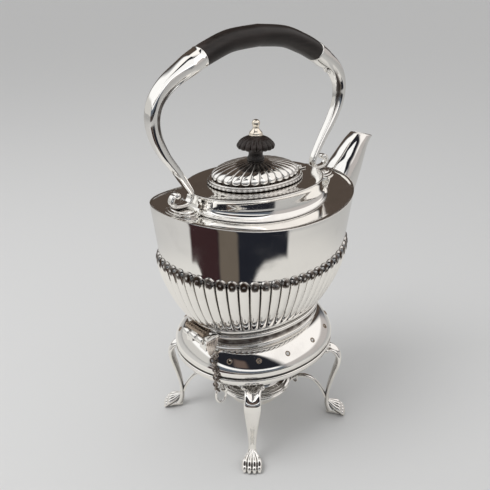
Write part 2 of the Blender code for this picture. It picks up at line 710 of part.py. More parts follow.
def finial(parent):
    """Silver finial with the stud that runs down through knob and dome to the nut."""
    base = KNOB_Z + KNOB_HEIGHT + GAP
    stud_end = DOME_Z + LID_DOME_RISE - 2 * SHEET - GAP - LID_NUT_HEIGHT
    profile = [(0, stud_end), (STUD_RADIUS, stud_end), (STUD_RADIUS, base)]
    profile += [(FINIAL_RADIUS * share, base + FINIAL_HEIGHT * height) for share, height in FINIAL_SHARES]
    return piece("finial", turned(profile, 16), parent)


def lid_nut(parent):
    """Nut on the stud, under the dome."""
    top = DOME_Z + LID_DOME_RISE - 2 * SHEET - GAP
    bore = STUD_RADIUS + GAP
    bottom = top - LID_NUT_HEIGHT
    profile = [(bore, top), (LID_NUT_RADIUS, top), (LID_NUT_RADIUS, bottom), (bore, bottom)]
    return piece("lid_nut", turned(profile, 6, closed=True), parent, AGED_SILVER)


# Lid hinge

LID_HINGE_X = LID_HALF_LENGTH + LID_HINGE_STANDOFF
LID_HINGE_Z = LID_Z + LID_HINGE_RADIUS


def lid_hinge_leaf(parent):
    """The lid's middle knuckle and the tab that joins it to the rim."""
    half = LID_KNUCKLE_LENGTH / 2
    bore = LID_HINGE_PIN_RADIUS + GAP
    sleeve = tube_y(LID_HINGE_RADIUS, bore, -half, half, LID_HINGE_X, LID_HINGE_Z, 12)
    leaf = piece("lid_hinge_leaf", sleeve, parent)
    start = LID_HALF_LENGTH + GAP
    end = LID_HINGE_X - (LID_HINGE_RADIUS + bore) / 2
    tab_z = LID_Z + LID_RIM_HEIGHT / 2
    join(leaf, guide("guide_lid_tab", block((start, -half, LID_Z + GAP), (end, half, tab_z)), parent))
    return leaf


def lid_hinge_seat(parent):
    """Plate on the deck with the two fixed knuckles, either side of the lid's."""
    inner = LID_KNUCKLE_LENGTH / 2 + GAP
    outer = inner + LID_KNUCKLE_LENGTH
    bore = LID_HINGE_PIN_RADIUS + GAP
    spans = ((inner, outer), (-outer, -inner))
    sleeves = [tube_y(LID_HINGE_RADIUS, bore, a, b, LID_HINGE_X, LID_HINGE_Z, 12) for a, b in spans]
    seat = piece("lid_hinge_seat", both(*sleeves), parent)
    plate_start = LID_HINGE_X + LID_HINGE_RADIUS + GAP
    plate_top = LID_Z + LID_PLATE_THICKNESS
    join(seat, guide("guide_lid_plate", block((plate_start, -outer, LID_Z),
                                              (plate_start + LID_PLATE_LENGTH, outer, plate_top)), parent))
    for i, (a, b) in enumerate(spans):
        cheek = block((LID_HINGE_X, a, LID_Z), (plate_start + LID_PLATE_LENGTH / 2, b, plate_top))
        join(seat, guide(f"guide_lid_cheek_{i}", cheek, parent))
    return seat


def lid_hinge_pin(parent):
    half = LID_KNUCKLE_LENGTH / 2 + GAP + LID_KNUCKLE_LENGTH + LID_PIN_OVERHANG
    pin = rod_y(LID_HINGE_PIN_RADIUS, -half, half, LID_HINGE_X, LID_HINGE_Z, 10)
    return piece("lid_hinge_pin", pin, parent)


# Spout

SPOUT_RISE = SPOUT_TIP_Z - SPOUT_ROOT_Z
# Each station: outer edge and inner edge as shares of the reach and the rise, then the half width's share
SPOUT_STATION_SHARES = (
    ((-0.14, 0.000), (-0.390, 0.357), 0.80),
    ((0.053, 0.103), (-0.280, 0.479), 0.94),
    ((0.246, 0.230), (-0.175, 0.573), 1.00),
    ((0.412, 0.357), (-0.070, 0.648), 1.00),
    ((0.535, 0.475), (0.018, 0.719), 0.97),
    ((0.640, 0.592), (0.132, 0.789), 0.91),
    ((0.719, 0.695), (0.254, 0.846), 0.84),
    ((0.793, 0.794), (0.368, 0.904), 0.75),
    ((0.877, 0.888), (0.488, 0.959), 0.66),
    ((1.000, 0.947), (0.596, 1.000), 0.58),
)


def spout_rings(thinner, past=0):
    """Sections of the spout between its outer and inner edges, from inside the bowl to the mouth."""
    turn = [math.tau * k / SPOUT_SIDES for k in range(SPOUT_SIDES)]
    rings = []
    for outer, inner, width_share in SPOUT_STATION_SHARES:
        a = Vector((SHOULDER_HALF_LENGTH + SPOUT_REACH * outer[0], 0, SPOUT_ROOT_Z + SPOUT_RISE * outer[1]))
        b = Vector((SHOULDER_HALF_LENGTH + SPOUT_REACH * inner[0], 0, SPOUT_ROOT_Z + SPOUT_RISE * inner[1]))
        middle = (a + b) / 2
        half = (a - b) / 2
        half = half * (1 - thinner / half.length)
        width = SPOUT_HALF_WIDTH * width_share - thinner
        rings.append([tuple(middle + half * math.cos(t) + Vector((0, width * math.sin(t), 0))) for t in turn])
    if past:
        rings.append([(x, y, z + past) for x, y, z in rings[-1]])
    return rings


def spout_bore(past):
    """The spout's inside, run a little past its mouth."""
    return loft(spout_rings(SPOUT_WALL, past))


def spout(parent):
    """Hollow spout, cut to sit on the bowl."""
    outside = spout_rings(0)
    inside = spout_rings(SPOUT_WALL)
    made = piece("spout", loft(outside + list(reversed(inside)), closed=True), parent)
    cut(made, guide("guide_bowl", bowl_envelope(GAP), parent))
    return made


# Handle

HANDLE_TOP_Z = KNOB_Z + KNOB_HEIGHT + GAP + FINIAL_HEIGHT + FINGER_ROOM + GRIP_DEPTH / 2
SCROLL_TOP_SHARE = 0.19             # of the scale, where the scroll ends and the bowed upright begins
ARCH_SHARES = ((0, 1), (0.28, 0.982), (0.48, 0.935), (0.62, 0.89), (0.76, 0.83), (0.88, 0.765),
               (0.965, 0.69), (1, 0.6), (0.985, 0.5), (0.92, 0.39), (0.825, 0.285), (0.745, 0.19),
               (0.7, 0.128), (0.705, 0.087), (0.747, 0.062), (0.806, 0.058), (0.866, 0.068),
               (0.896, 0.098), (0.876, 0.13), (0.842, 0.132))
ARCH_STEPS = 2
GROOVE_FADE_SHARE = 0.1             # of the upright's length, over which its grooves begin
# Sizes of the upright at shares of its length below the socket
UPRIGHT_DEPTHS = ((0, GRIP_DEPTH), (0.1, SOCKET_END_DEPTH), (0.28, UPRIGHT_DEPTH), (0.55, NECK_DEPTH),
                  (0.7, BEND_DEPTH), (0.83, CURL_DEPTH), (1, SCROLL_DEPTH))
UPRIGHT_WIDTHS = ((0, GRIP_WIDTH), (0.1, SOCKET_END_WIDTH), (0.28, UPRIGHT_WIDTH), (0.55, NECK_WIDTH),
                  (0.83, SCROLL_WIDTH), (1, SCROLL_WIDTH))
D_OUTLINE_SHARES = ((0.5, 0), (0.4, 0.32), (0.12, 0.44), (-0.16, 0.39), (-0.42, 0.44),
                    (-0.5, 0), (-0.42, -0.44), (-0.16, -0.39), (0.12, -0.44), (0.4, -0.32))


def arch_height(share):
    """The scroll keeps its own height, and the arch over it takes the rest."""
    scroll_top = HANDLE_BASE_Z + SCROLL_SCALE * SCROLL_TOP_SHARE
    if share <= SCROLL_TOP_SHARE:
        return HANDLE_BASE_Z + SCROLL_SCALE * share
    return scroll_top + (HANDLE_TOP_Z - scroll_top) * (share - SCROLL_TOP_SHARE) / (1 - SCROLL_TOP_SHARE)


def half_arch(side):
    """The handle's centre line from its top to the end of its scroll."""
    span = side * HANDLE_HALF_SPAN
    knots = [(HANDLE_OFFSET + span * x, 0, arch_height(z)) for x, z in ARCH_SHARES]
    return smooth_path(knots, ARCH_STEPS)


def at_x(line, reach, side):
    """The line's place where it first passes a distance from the kettle's middle."""
    for i, (a, b) in enumerate(zip(line, line[1:])):
        if side * b.x >= reach:
            k = (reach - side * a.x) / (side * (b.x - a.x))
            return i + 1, a.lerp(b, k), (b - a).normalized()
    return len(line) - 1, line[-1], (line[-1] - line[-2]).normalized()


def upright_size(share, socket):
    """Depth and width of the upright, from the grip's end at share 0 to the scroll's end at 1.

    Down to the share given as socket it stays full, round the grip's tenon.
    """
    taper = max(0, (share - socket) / (1 - socket))
    return blend(UPRIGHT_DEPTHS, taper), blend(UPRIGHT_WIDTHS, taper)


def round_outline():
    count = len(D_OUTLINE_SHARES)
    turn = [math.tau * i / count for i in range(count)]
    return [(math.cos(a) / 2, math.sin(a) / 2) for a in turn]


def mixed_outline(share, socket):
    """Round over the socket, grooved on both sides further down."""
    k = min(1, max(0, (share - socket) / GROOVE_FADE_SHARE))
    return [(a + (c - a) * k, b + (d - b) * k) for (a, b), (c, d) in zip(round_outline(), D_OUTLINE_SHARES)]


def upright_rings(side, reach):
    """Sections of an upright, from the floor of its socket to the end of its scroll."""
    line = half_arch(side)
    index, spot, along = at_x(line, reach, side)
    path = [spot] + [p for p in line[index:] if (p - spot).length > TENON_LENGTH / 4]
    run = [0]
    for a, b in zip(path, path[1:]):
        run.append(run[-1] + (b - a).length)
    tenon_depth = GRIP_DEPTH - 2 * SOCKET_WALL
    tenon_width = GRIP_WIDTH - 2 * SOCKET_WALL
    mouth = spot + along * GAP
    floor = spot + along * (TENON_LENGTH + 2 * GAP)
    outline = round_outline()
    socket = (TENON_LENGTH + SOCKET_WALL) / run[-1]
    rings = [band_section(floor, along, tenon_depth, tenon_width, outline),
             band_section(mouth, along, tenon_depth, tenon_width, outline)]
    for i, centre in enumerate(path):
        share = run[i] / run[-1]
        here = along if i == 0 else (path[min(i + 1, len(path) - 1)] - path[i - 1]).normalized()
        depth, width = upright_size(share, socket)
        centre = mouth if i == 0 else centre
        rings.append(band_section(centre, here, depth, width, mixed_outline(share, socket)))
    return rings


def handle_upright(name, side, reach, parent):
    """Silver upright: a socket for the grip's tenon, the bowed upright, and the scroll at its foot."""
    return piece(name, loft(upright_rings(side, reach)), parent)


def scroll_bottom():
    """Height of the lowest point of the scrolls."""
    return min(z for ring in upright_rings(1, GRIP_FRONT_REACH) for _, _, z in ring)


def grip_stations():
    """The grip's centre line from its rear end to its front end."""
    rear, front = half_arch(-1), half_arch(1)
    rear_index, rear_end, rear_along = at_x(rear, GRIP_REAR_REACH, -1)
    front_index, front_end, front_along = at_x(front, GRIP_FRONT_REACH, 1)
    inner = [p for p in reversed(rear[1:rear_index]) if (p - rear_end).length > TENON_LENGTH / 3]
    inner += [rear[0]]
    inner += [p for p in front[1:front_index] if (p - front_end).length > TENON_LENGTH / 3]
    return rear_end, rear_along, inner, front_end, front_along


def handle_grip(parent):
    """Ebony grip with a tenon at each end, a little fuller in its middle."""
    rear_end, rear_along, inner, front_end, front_along = grip_stations()
    tenon_depth = GRIP_DEPTH - 2 * SOCKET_WALL - 2 * GAP
    tenon_width = GRIP_WIDTH - 2 * SOCKET_WALL - 2 * GAP
    outline = round_outline()

    def end_rings(spot, along, direction):
        tip = spot + along * TENON_LENGTH
        forward = along * direction
        return [band_section(tip, forward, tenon_depth, tenon_width, outline),
                band_section(spot, forward, tenon_depth, tenon_width, outline),
                band_section(spot, forward, GRIP_DEPTH, GRIP_WIDTH, outline)]

    rings = end_rings(rear_end, rear_along, -1)
    places = [rear_end] + inner + [front_end]
    for i in range(1, len(places) - 1):
        along = (places[i + 1] - places[i - 1]).normalized()
        rings.append(band_section(places[i], along, GRIP_DEPTH, GRIP_WIDTH, outline))
    rings += reversed(end_rings(front_end, front_along, 1))
    return piece("handle_grip", loft(rings), parent, EBONY, 0, 0.35)


def rivet_spots():
    rear_end, rear_along, _, front_end, front_along = grip_stations()
    return [rear_end + rear_along * (TENON_LENGTH / 2), front_end + front_along * (TENON_LENGTH / 2)]


def grip_rivets(parent, uprights, grip):
    """One pin through each socket and tenon."""
    half = GRIP_WIDTH / 2 - GAP
    for name, upright, spot in zip(("rivet_rear", "rivet_front"), uprights, rivet_spots()):
        way = rod_y(RIVET_RADIUS + GAP, -GRIP_WIDTH, GRIP_WIDTH, spot.x, spot.z, 8)
        cutter = guide(name + "_way", way, parent)
        cut(upright, cutter)
        cut(grip, cutter)
        piece(name, rod_y(RIVET_RADIUS, -half, half, spot.x, spot.z, 8), parent)


PLINTH_STEP_SHARES = ((0, 0), (0, 0.3), (1, 0.36), (1, 0.66), (2, 0.72), (2, 1))


def plinth(name, side, parent, collar_cutter):
    """Stepped oval base under a scroll, lying on the shoulder and cut to clear the collar."""
    middle = HANDLE_OFFSET + side * PLINTH_REACH
    rings = []
    top = scroll_bottom() - GAP
    for steps_in, height in PLINTH_STEP_SHARES:
        inset = PLINTH_STEP * steps_in
        low = oval(PLINTH_HALF_LENGTH - inset, PLINTH_HALF_WIDTH - inset,
                   SHOULDER_Z + GAP, 1, None, middle)
        rings.append([(x, y, z + (top - z) * height) for x, y, z in low[::2]])
    made = piece(name, loft(rings), parent)
    cut(made, collar_cutter)
    return made


# Hinges between kettle and stand

def knuckle_span(outer):
    """Y ranges of the stand's two knuckles, or of the kettle's one."""
    half = HINGE_MIDDLE_WIDTH / 2
    if outer:
        return [(half + GAP, HINGE_HALF_WIDTH), (-HINGE_HALF_WIDTH, -half - GAP)]
    return [(-half, half)]


def lug(name, side, parent, cutters):
    """The kettle's knuckle and the leaf that joins it to the foot."""
    x = side * HINGE_REACH
    bore = HINGE_PIN_RADIUS + HINGE_PIN_PLAY
    half = HINGE_MIDDLE_WIDTH / 2
    made = piece(name, tube_y(HINGE_RADIUS, bore, -half, half, x, HINGE_Z, 14), parent, AGED_SILVER, 1, 0.4)
    leaf_z = HINGE_Z + HINGE_RADIUS + GAP
    leaf_top = leaf_z + LUG_THICKNESS
    inner = side * (HINGE_REACH - LUG_RUN)
    web = block((min(inner, x), -half, HINGE_Z + bore + GAP), (max(inner, x), half, (leaf_z + leaf_top) / 2))
    edge = side * (HINGE_REACH - GAP)
    leaf = block((min(inner, edge), -LUG_HALF_WIDTH, leaf_z), (max(inner, edge), LUG_HALF_WIDTH, leaf_top))
    join(made, guide(name + "_web", web, parent), guide(name + "_leaf", leaf, parent))
    cut(made, *cutters)
    return made


def foot_envelope(out):
    """A plain solid round the foot ring and the lower bowl."""
    rings = [oval(FOOT_HALF_LENGTH + out, FOOT_HALF_WIDTH + out, FOOT_Z - CUT_OVERRUN),
             oval(FOOT_HALF_LENGTH + out, FOOT_HALF_WIDTH + out, FLUTE_FOOT_Z)]
    return loft(rings)


def socket_envelope(out):
    """A plain solid round the socket ring and its bead."""
    length = FOOT_HALF_LENGTH - SOCKET_SEAT_INSET + out
    width = FOOT_HALF_WIDTH - SOCKET_SEAT_INSET + out
    bead_top = SOCKET_FOOT_Z + GAP + SOCKET_BEAD + out
    bottom = SOCKET_FOOT_Z - CUT_OVERRUN
    rings = [oval(length + SOCKET_BEAD, width + SOCKET_BEAD, z) for z in (bottom, bead_top)]
    rings += [oval(length, width, z) for z in (bead_top + out, FOOT_Z + CUT_OVERRUN)]
    return loft(rings)


def stand_knuckles(name, side, parent, cutters):
    """The stand's two knuckles with their cheeks and the foot that joins them on the apron."""
    x = side * HINGE_REACH
    bore = HINGE_PIN_RADIUS + HINGE_PIN_PLAY
    sleeves = [tube_y(HINGE_RADIUS, bore, a, b, x, HINGE_Z, 14) for a, b in knuckle_span(True)]
    made = piece(name, both(*sleeves), parent)
    inner = side * (HINGE_REACH - KNUCKLE_RUN)
    outer = side * (HINGE_REACH + HINGE_RADIUS * CHEEK_REACH_SHARE)
    low_x, high_x = min(inner, outer), max(inner, outer)
    for i, (a, b) in enumerate(knuckle_span(True)):
        cheek = block((low_x, a, APRON_WIDEST_Z), (high_x, b, HINGE_Z - bore - GAP))
        join(made, guide(f"{name}_cheek_{i}", cheek, parent))
    foot = block((low_x, -HINGE_HALF_WIDTH, APRON_WIDEST_Z),
                 (high_x, HINGE_HALF_WIDTH, HINGE_Z - HINGE_RADIUS - KNUCKLE_FOOT_ROOM))
    join(made, guide(name + "_foot", foot, parent))
    cut(made, *cutters)
    return made


def pin_places():
    """Distances along a pin: where its head starts and ends, and where its bar ends."""
    head = HINGE_HALF_WIDTH + PIN_NECK
    return head, head + PIN_HEAD_THICKNESS, head + PIN_HEAD_THICKNESS + BAR_WIDTH / 2


def hinge_pin(name, side, up, parent):
    """A pin with a bar across its head, drawn out towards its head.

    The bar stands over the pin where up is 1. Where up is -1 it hangs, clear of the foot as that tips.
    """
    x = side * HINGE_REACH
    near, far, end = (side * place for place in pin_places())
    tail = -side * (HINGE_HALF_WIDTH + PIN_TAIL)
    shaft_y = sorted(((near + far) / 2, tail))
    made = piece(name, rod_y(HINGE_PIN_RADIUS, *shaft_y, x, HINGE_Z, 12), parent)
    boss = rod_y(PIN_HEAD_RADIUS, min(near, far), max(near, far), x, HINGE_Z, 14)
    bar_x = x - side * up * BAR_SHIFT
    bar_z = HINGE_Z + up * BAR_RISE
    stalk_y = sorted((far - side * STALK_WIDTH, far))
    stalk_z = sorted((HINGE_Z, bar_z))
    half = STALK_WIDTH / 2
    stalk = block((x - half, stalk_y[0], stalk_z[0]), (x + half, stalk_y[1], stalk_z[1]))
    bar_y = sorted((end - side * BAR_WIDTH, end))
    bar = block((bar_x - BAR_LENGTH / 2, bar_y[0], bar_z - BAR_HEIGHT / 2),
                (bar_x + BAR_LENGTH / 2, bar_y[1], bar_z + BAR_HEIGHT / 2))
    join(made, guide(name + "_boss", boss, parent), guide(name + "_stalk", stalk, parent),
         guide(name + "_bar", bar, parent))
    return made


# Stand

def apron_size(share):
    """Half length, half width and height of the dome, from its neck at share 0 to its widest at 1."""
    drop = 1 - max(0, 1 - share ** APRON_BEND) ** (1 / APRON_BEND)
    return (APRON_TOP_HALF_LENGTH + (APRON_HALF_LENGTH - APRON_TOP_HALF_LENGTH) * share,
            APRON_TOP_HALF_WIDTH + (APRON_HALF_WIDTH - APRON_TOP_HALF_WIDTH) * share,
            SOCKET_FOOT_Z + (APRON_WIDEST_Z - SOCKET_FOOT_Z) * drop)


APRON_ROW_SHARES = (0, 0.25, 0.5, 0.75, 0.92, 1)


def vent_angles():
    """Round the oval, but not under the two hinges."""
    left = [VENT_PITCH * (k + 0.5) for k in range(1, VENTS_A_SIDE + 1)]
    return left + [math.pi + angle for angle in left]


def apron_share_at(z):
    """The share at which the dome has come down to a height."""
    low, high = 0, 1
    for _ in range(30):
        middle = (low + high) / 2
        if apron_size(middle)[2] > z:
            low = middle
        else:
            high = middle
    return (low + high) / 2


def vent_rod(angle):
    """A cutter square to the dome at one vent."""
    share = apron_share_at(VENT_Z)
    length, width, z = apron_size(share)
    x, y = oval_point(length, width, angle)
    spot = Vector((x, y, z))
    out = Vector((x / length ** 2, y / width ** 2, 1 / (2 * (length + width)))).normalized()
    side = out.cross(Vector((0, 0, 1))).normalized()
    up = side.cross(out)
    rings = []
    for way in (-1, 1):
        middle = spot + out * (way * VENT_CUT_REACH)
        turn = [math.tau * i / VENT_SIDES for i in range(VENT_SIDES)]
        rings.append([tuple(middle + side * (VENT_RADIUS * math.cos(a)) + up * (VENT_RADIUS * math.sin(a)))
                      for a in turn])
    return loft(rings)


def apron(parent):
    """Oval dome of the stand, open below, with its vent holes."""
    rings = []
    for share in APRON_ROW_SHARES:
        length, width, z = apron_size(share)
        rings.append(oval(length, width, z))
    edge_z = APRON_RIM_Z + APRON_RIM_HEIGHT + GAP
    rings.append(oval(APRON_HALF_LENGTH, APRON_HALF_WIDTH, edge_z))
    rings.append(oval(APRON_HALF_LENGTH - SHEET, APRON_HALF_WIDTH - SHEET, edge_z))
    for share in APRON_ROW_SHARES[4::-2]:
        length, width, z = apron_size(share)
        rings.append(oval(length - SHEET, width - SHEET, z - SHEET))
    made = piece("apron", loft(rings, closed=True), parent)
    vents = [vent_rod(angle) for angle in vent_angles()]
    cut(made, guide("guide_vents", both(*vents), parent))
    return made


def apron_envelope(out):
    """A plain solid round the outside of the dome."""
    rings = []
    for share in APRON_ROW_SHARES:
        length, width, z = apron_size(share)
        rings.append(oval(length + out, width + out, z + out))
    rings.append(oval(APRON_HALF_LENGTH + out, APRON_HALF_WIDTH + out, APRON_RIM_Z))
    return loft(rings)


RIM_BELLY_SHARE = 0.25              # of its tuck, how far the rim has drawn in at half its height


def apron_rim(parent):
    """Thick moulding round the apron's lower edge."""
    top = APRON_RIM_Z + APRON_RIM_HEIGHT
    mid = APRON_RIM_Z + APRON_RIM_HEIGHT / 2
    length, width = APRON_HALF_LENGTH, APRON_HALF_WIDTH

    def ring(inset, z):
        return oval(length - inset, width - inset, z)

    rings = [ring(0, top), ring(APRON_RIM_TUCK * RIM_BELLY_SHARE, mid), ring(APRON_RIM_TUCK, APRON_RIM_Z)]
    rings += [ring(APRON_RIM_TUCK + APRON_RIM_THICKNESS, APRON_RIM_Z), ring(APRON_RIM_THICKNESS, top)]
    return piece("apron_rim", loft(rings, closed=True), parent)


def socket_ring(parent):
    """Neck with a beaded base, on which the kettle's foot stands."""
    seat = FOOT_Z - GAP
    length = FOOT_HALF_LENGTH - SOCKET_SEAT_INSET
    width = FOOT_HALF_WIDTH - SOCKET_SEAT_INSET

    def ring(inset, z):
        return oval(length - inset, width - inset, z)

    base = SOCKET_FOOT_Z + GAP
    neck = SOCKET_BEAD / 2
    rings = [ring(0, seat), ring(0, seat - neck), ring(neck, seat - SOCKET_BEAD)]
    rings += [ring(neck, base + SOCKET_BEAD), ring(-SOCKET_BEAD, base + neck), ring(-SOCKET_BEAD, base)]
    rings += [ring(SOCKET_BEAD + SHEET, base), ring(SOCKET_BEAD + SHEET, seat)]
    return piece("socket_ring", loft(rings, closed=True), parent)


# Legs and brackets, written in the upright plane of a leg: distance from the axis, then height

def oval_radius(half_length, half_width, angle):
    """Distance from the middle to the oval in a direction."""
    along, across = math.cos(angle) / half_length, math.sin(angle) / half_width
    return (abs(along) ** OVAL_POWER + abs(across) ** OVAL_POWER) ** (-1 / OVAL_POWER)


LEG_ROOT_RADIUS = oval_radius(APRON_HALF_LENGTH, APRON_HALF_WIDTH, LEG_ANGLE) - LEG_ROOT_INSET
RIM_UNDER_Z = APRON_RIM_Z - GAP
# Each station: inner point, outer point, width. Points are (reach, height) shares of the sizes below.
LEG_STATION_SHARES = (
    ((-0.30, 0.950), (-0.30, 1.0), 1.0, "root"),
    ((0.03, 0.945), (0.03, 1.0), 1.0, "root"),
    ((0.32, 0.935), (0.40, 0.995), 0.86, "root"),
    ((0.52, 0.900), (0.79, 0.950), 1.0, "knee"),
    ((0.68, 0.845), (1.04, 0.862), 1.0, "knee"),
    ((0.67, 0.760), (1.00, 0.750), 0.96, "knee"),
    ((0.54, 0.655), (0.84, 0.640), 0.84, "knee"),
    ((0.39, 0.535), (0.66, 0.520), 0.72, "knee"),
    ((0.25, 0.405), (0.51, 0.398), 0.58, "knee"),
    ((0.18, 0.288), (0.43, 0.288), 1.06, "ankle"),
    ((0.165, 0.200), (0.44, 0.208), 1.0, "ankle"),
)
INSTEP_LEAN_SHARE = 0.35            # of the paw's height, how far the instep's section leans out
# Each station: reach, foot and height of the section, then its width
PAW_STATION_SHARES = (
    (0.12, 0.55, 0.62, 0.55),
    (0.26, 0.00, 1.00, 0.78),
    (0.50, 0.00, 0.92, 0.94),
    (0.72, 0.00, 0.74, 1.0),
    (0.90, 0.00, 0.52, 1.0),
    (1.00, 0.00, 0.26, 0.92),
)
STRAP_OUTLINE_SHARES = ((-0.7, 0), (0.7, 0), (1, 0.3), (1, 0.7), (0.62, 1), (0.3, 0.96), (0, 0.96),
                        (-0.3, 0.96), (-0.62, 1), (-1, 0.7), (-1, 0.3))
TOE_OUTLINE_SHARES = ((-0.8, 0), (0.8, 0), (1, 0.25), (0.84, 0.85), (0.52, 0.6), (0.28, 1), (0, 0.68),
                      (-0.28, 1), (-0.52, 0.6), (-0.84, 0.85), (-1, 0.25))


def leg_section(inner, outer, width, outline, direction):
    """A section between an inner and an outer point of a leg's plane."""
    across = Vector((-direction.y, direction.x, 0))
    a = direction * inner[0] + Vector((0, 0, inner[1]))
    b = direction * outer[0] + Vector((0, 0, outer[1]))
    return [tuple(a.lerp(b, v) + across * (u * width / 2)) for u, v in outline]


def leg_direction(side_x, side_y):
    return Vector((side_x * math.cos(LEG_ANGLE), side_y * math.sin(LEG_ANGLE), 0))


def leg(name, side_x, side_y, parent):
    """Cabriole leg: a pad under the rim, the knee, the ankle and a paw with a flat sole."""
    direction = leg_direction(side_x, side_y)
    widths = {"root": LEG_ROOT_WIDTH, "knee": KNEE_WIDTH, "ankle": ANKLE_WIDTH}
    rings = []
    for inner, outer, width_share, carrier in LEG_STATION_SHARES:
        low = (LEG_ROOT_RADIUS + KNEE_REACH * inner[0], RIM_UNDER_Z * inner[1])
        high = (LEG_ROOT_RADIUS + KNEE_REACH * outer[0], RIM_UNDER_Z * outer[1])
        rings.append(leg_section(low, high, widths[carrier] * width_share, STRAP_OUTLINE_SHARES, direction))
    for reach, low_share, high_share, width_share in PAW_STATION_SHARES:
        x = LEG_ROOT_RADIUS + TOE_REACH * reach
        lean = PAW_HEIGHT * INSTEP_LEAN_SHARE if low_share else 0
        low = (x, PAW_HEIGHT * low_share)
        high = (x + lean, PAW_HEIGHT * (high_share + low_share))
        outline = STRAP_OUTLINE_SHARES if low_share else TOE_OUTLINE_SHARES
        rings.append(leg_section(low, high, PAW_WIDTH * width_share, outline, direction))
    return piece(name, loft(rings), parent)


BRACKET_SHARES = ((-0.05, 0.79), (0.15, 0.95), (0.3, 1), (0.48, 0.975), (0.66, 0.86), (0.81, 0.66),
                  (0.93, 0.42), (0.99, 0.24))
BRACKET_OUTLINE_SHARES = ((-1, -0.3), (-1, 0.3), (-0.6, 0.5), (0.6, 0.5), (1, 0.3), (1, -0.3), (0.6, -0.5),
                          (-0.6, -0.5))
BURNER_SIDES = 24


def bracket(name, side_x, side_y, parent):
    """Curved stay from the ankle to the burner ring."""
    direction = leg_direction(side_x, side_y)
    start = BURNER_RING_RADIUS + GAP
    ankle = LEG_ROOT_RADIUS + KNEE_REACH * LEG_STATION_SHARES[-1][0][0] - GAP - BRACKET_THICKNESS / 2
    rise = BRACKET_ARCH_Z - BRACKET_BASE_Z
    line = [Vector((start + (ankle - start) * r, 0, BRACKET_BASE_Z + rise * z)) for r, z in BRACKET_SHARES]
    rings = []
    for i, spot in enumerate(line):
        along = (line[min(i + 1, len(line) - 1)] - line[max(i - 1, 0)]).normalized()
        if i == 0:
            along = Vector((1, 0, 0))
        out = Vector((-along.z, 0, along.x))
        rings.append([])
        for u, v in BRACKET_OUTLINE_SHARES:
            p = spot + out * (v * BRACKET_THICKNESS)
            across = Vector((-direction.y, direction.x, 0)) * (u * BRACKET_WIDTH / 2)
            rings[-1].append(tuple(direction * p.x + across + Vector((0, 0, p.z))))
    made = piece(name, loft(rings), parent)
    cut(made, guide(name + "_ring_way", turned(((0, 0), (start, 0), (start, APRON_RIM_Z), (0, APRON_RIM_Z)),
                                               BURNER_SIDES), parent))
    return made


def burner_ring(parent):
    """Moulded ring that carries the burner."""
    z, top = BURNER_RING_Z, BURNER_RING_Z + BURNER_RING_HEIGHT
    r, bore = BURNER_RING_RADIUS, BURNER_RING_BORE
    step = (r - bore) / 3
    profile = [(r - step, z), (r, z + step), (r, top - step / 2), (r - step / 2, top), (bore, top), (bore, z)]
    return piece("burner_ring", turned(profile, BURNER_SIDES, closed=True), parent)


# Burner

FLANGE_Z = BURNER_RING_Z + BURNER_RING_HEIGHT + GAP
FLANGE_TOP_Z = FLANGE_Z + BURNER_FLANGE_THICKNESS


def burner_bowl(parent):
    """Spirit reservoir: a round bowl hung by its flange, open at the top under the drum."""
    profile = []
    steps = 5
    for i in range(steps + 1):
        a = math.pi / 2 * i / steps
        profile.append((BOWL_RADIUS * math.sin(a), FLANGE_Z - BOWL_DEPTH * math.cos(a)))
    flange = BURNER_RING_RADIUS
    profile += [(flange, FLANGE_Z), (flange, FLANGE_TOP_Z), (BOWL_RADIUS - SHEET, FLANGE_TOP_Z)]
    for i in range(steps, -1, -2):
        a = math.pi / 2 * i / steps
        profile.append(((BOWL_RADIUS - SHEET) * math.sin(a), FLANGE_Z - (BOWL_DEPTH - SHEET) * math.cos(a)))
    profile.append((0, FLANGE_Z - BOWL_DEPTH + SHEET))
    return piece("burner_bowl", turned(profile, 22), parent)


DRUM_TOP_Z = FLANGE_TOP_Z + GAP + DRUM_HEIGHT
CROWN_BEND_SHARE = 0.7              # of the cover's radius and rise, where its slope changes
WICK_TIP_SHARE = 0.7


def burner_drum(parent):
    """Upright wall and domed cover of the burner, bored for the wick tube."""
    base = FLANGE_TOP_Z + GAP
    bore = WICK_TUBE_RADIUS + GAP
    foot = BOWL_RADIUS + SHEET
    profile = [(foot, base), (foot, base + SHEET), (DRUM_RADIUS, base + SHEET), (DRUM_RADIUS, DRUM_TOP_Z)]
    bend = DRUM_RADIUS * CROWN_BEND_SHARE
    bend_z = DRUM_TOP_Z + DRUM_CROWN * CROWN_BEND_SHARE
    profile += [(bend, bend_z), (bore, DRUM_TOP_Z + DRUM_CROWN)]
    profile += [(bore, DRUM_TOP_Z + DRUM_CROWN - SHEET), (bend, bend_z - SHEET)]
    profile += [(DRUM_RADIUS - SHEET, DRUM_TOP_Z - SHEET), (DRUM_RADIUS - SHEET, base)]
    return piece("burner_drum", turned(profile, BURNER_SIDES, closed=True), parent)


def wick_tube(parent):
    """Tube that stands in the drum's cover, with a lip that rests on it."""
    top = DRUM_TOP_Z + DRUM_CROWN + WICK_TUBE_HEIGHT
    lip = DRUM_TOP_Z + DRUM_CROWN + GAP
    bottom = DRUM_TOP_Z - DRUM_HEIGHT
    bore = WICK_RADIUS + GAP
    r = WICK_TUBE_RADIUS
    profile = [(r, bottom), (r, lip), (r + SHEET, lip), (r + SHEET, lip + SHEET), (r, lip + SHEET), (r, top)]
    profile += [(bore, top), (bore, bottom)]
    return piece("wick_tube", turned(profile, 16, closed=True), parent, AGED_SILVER)


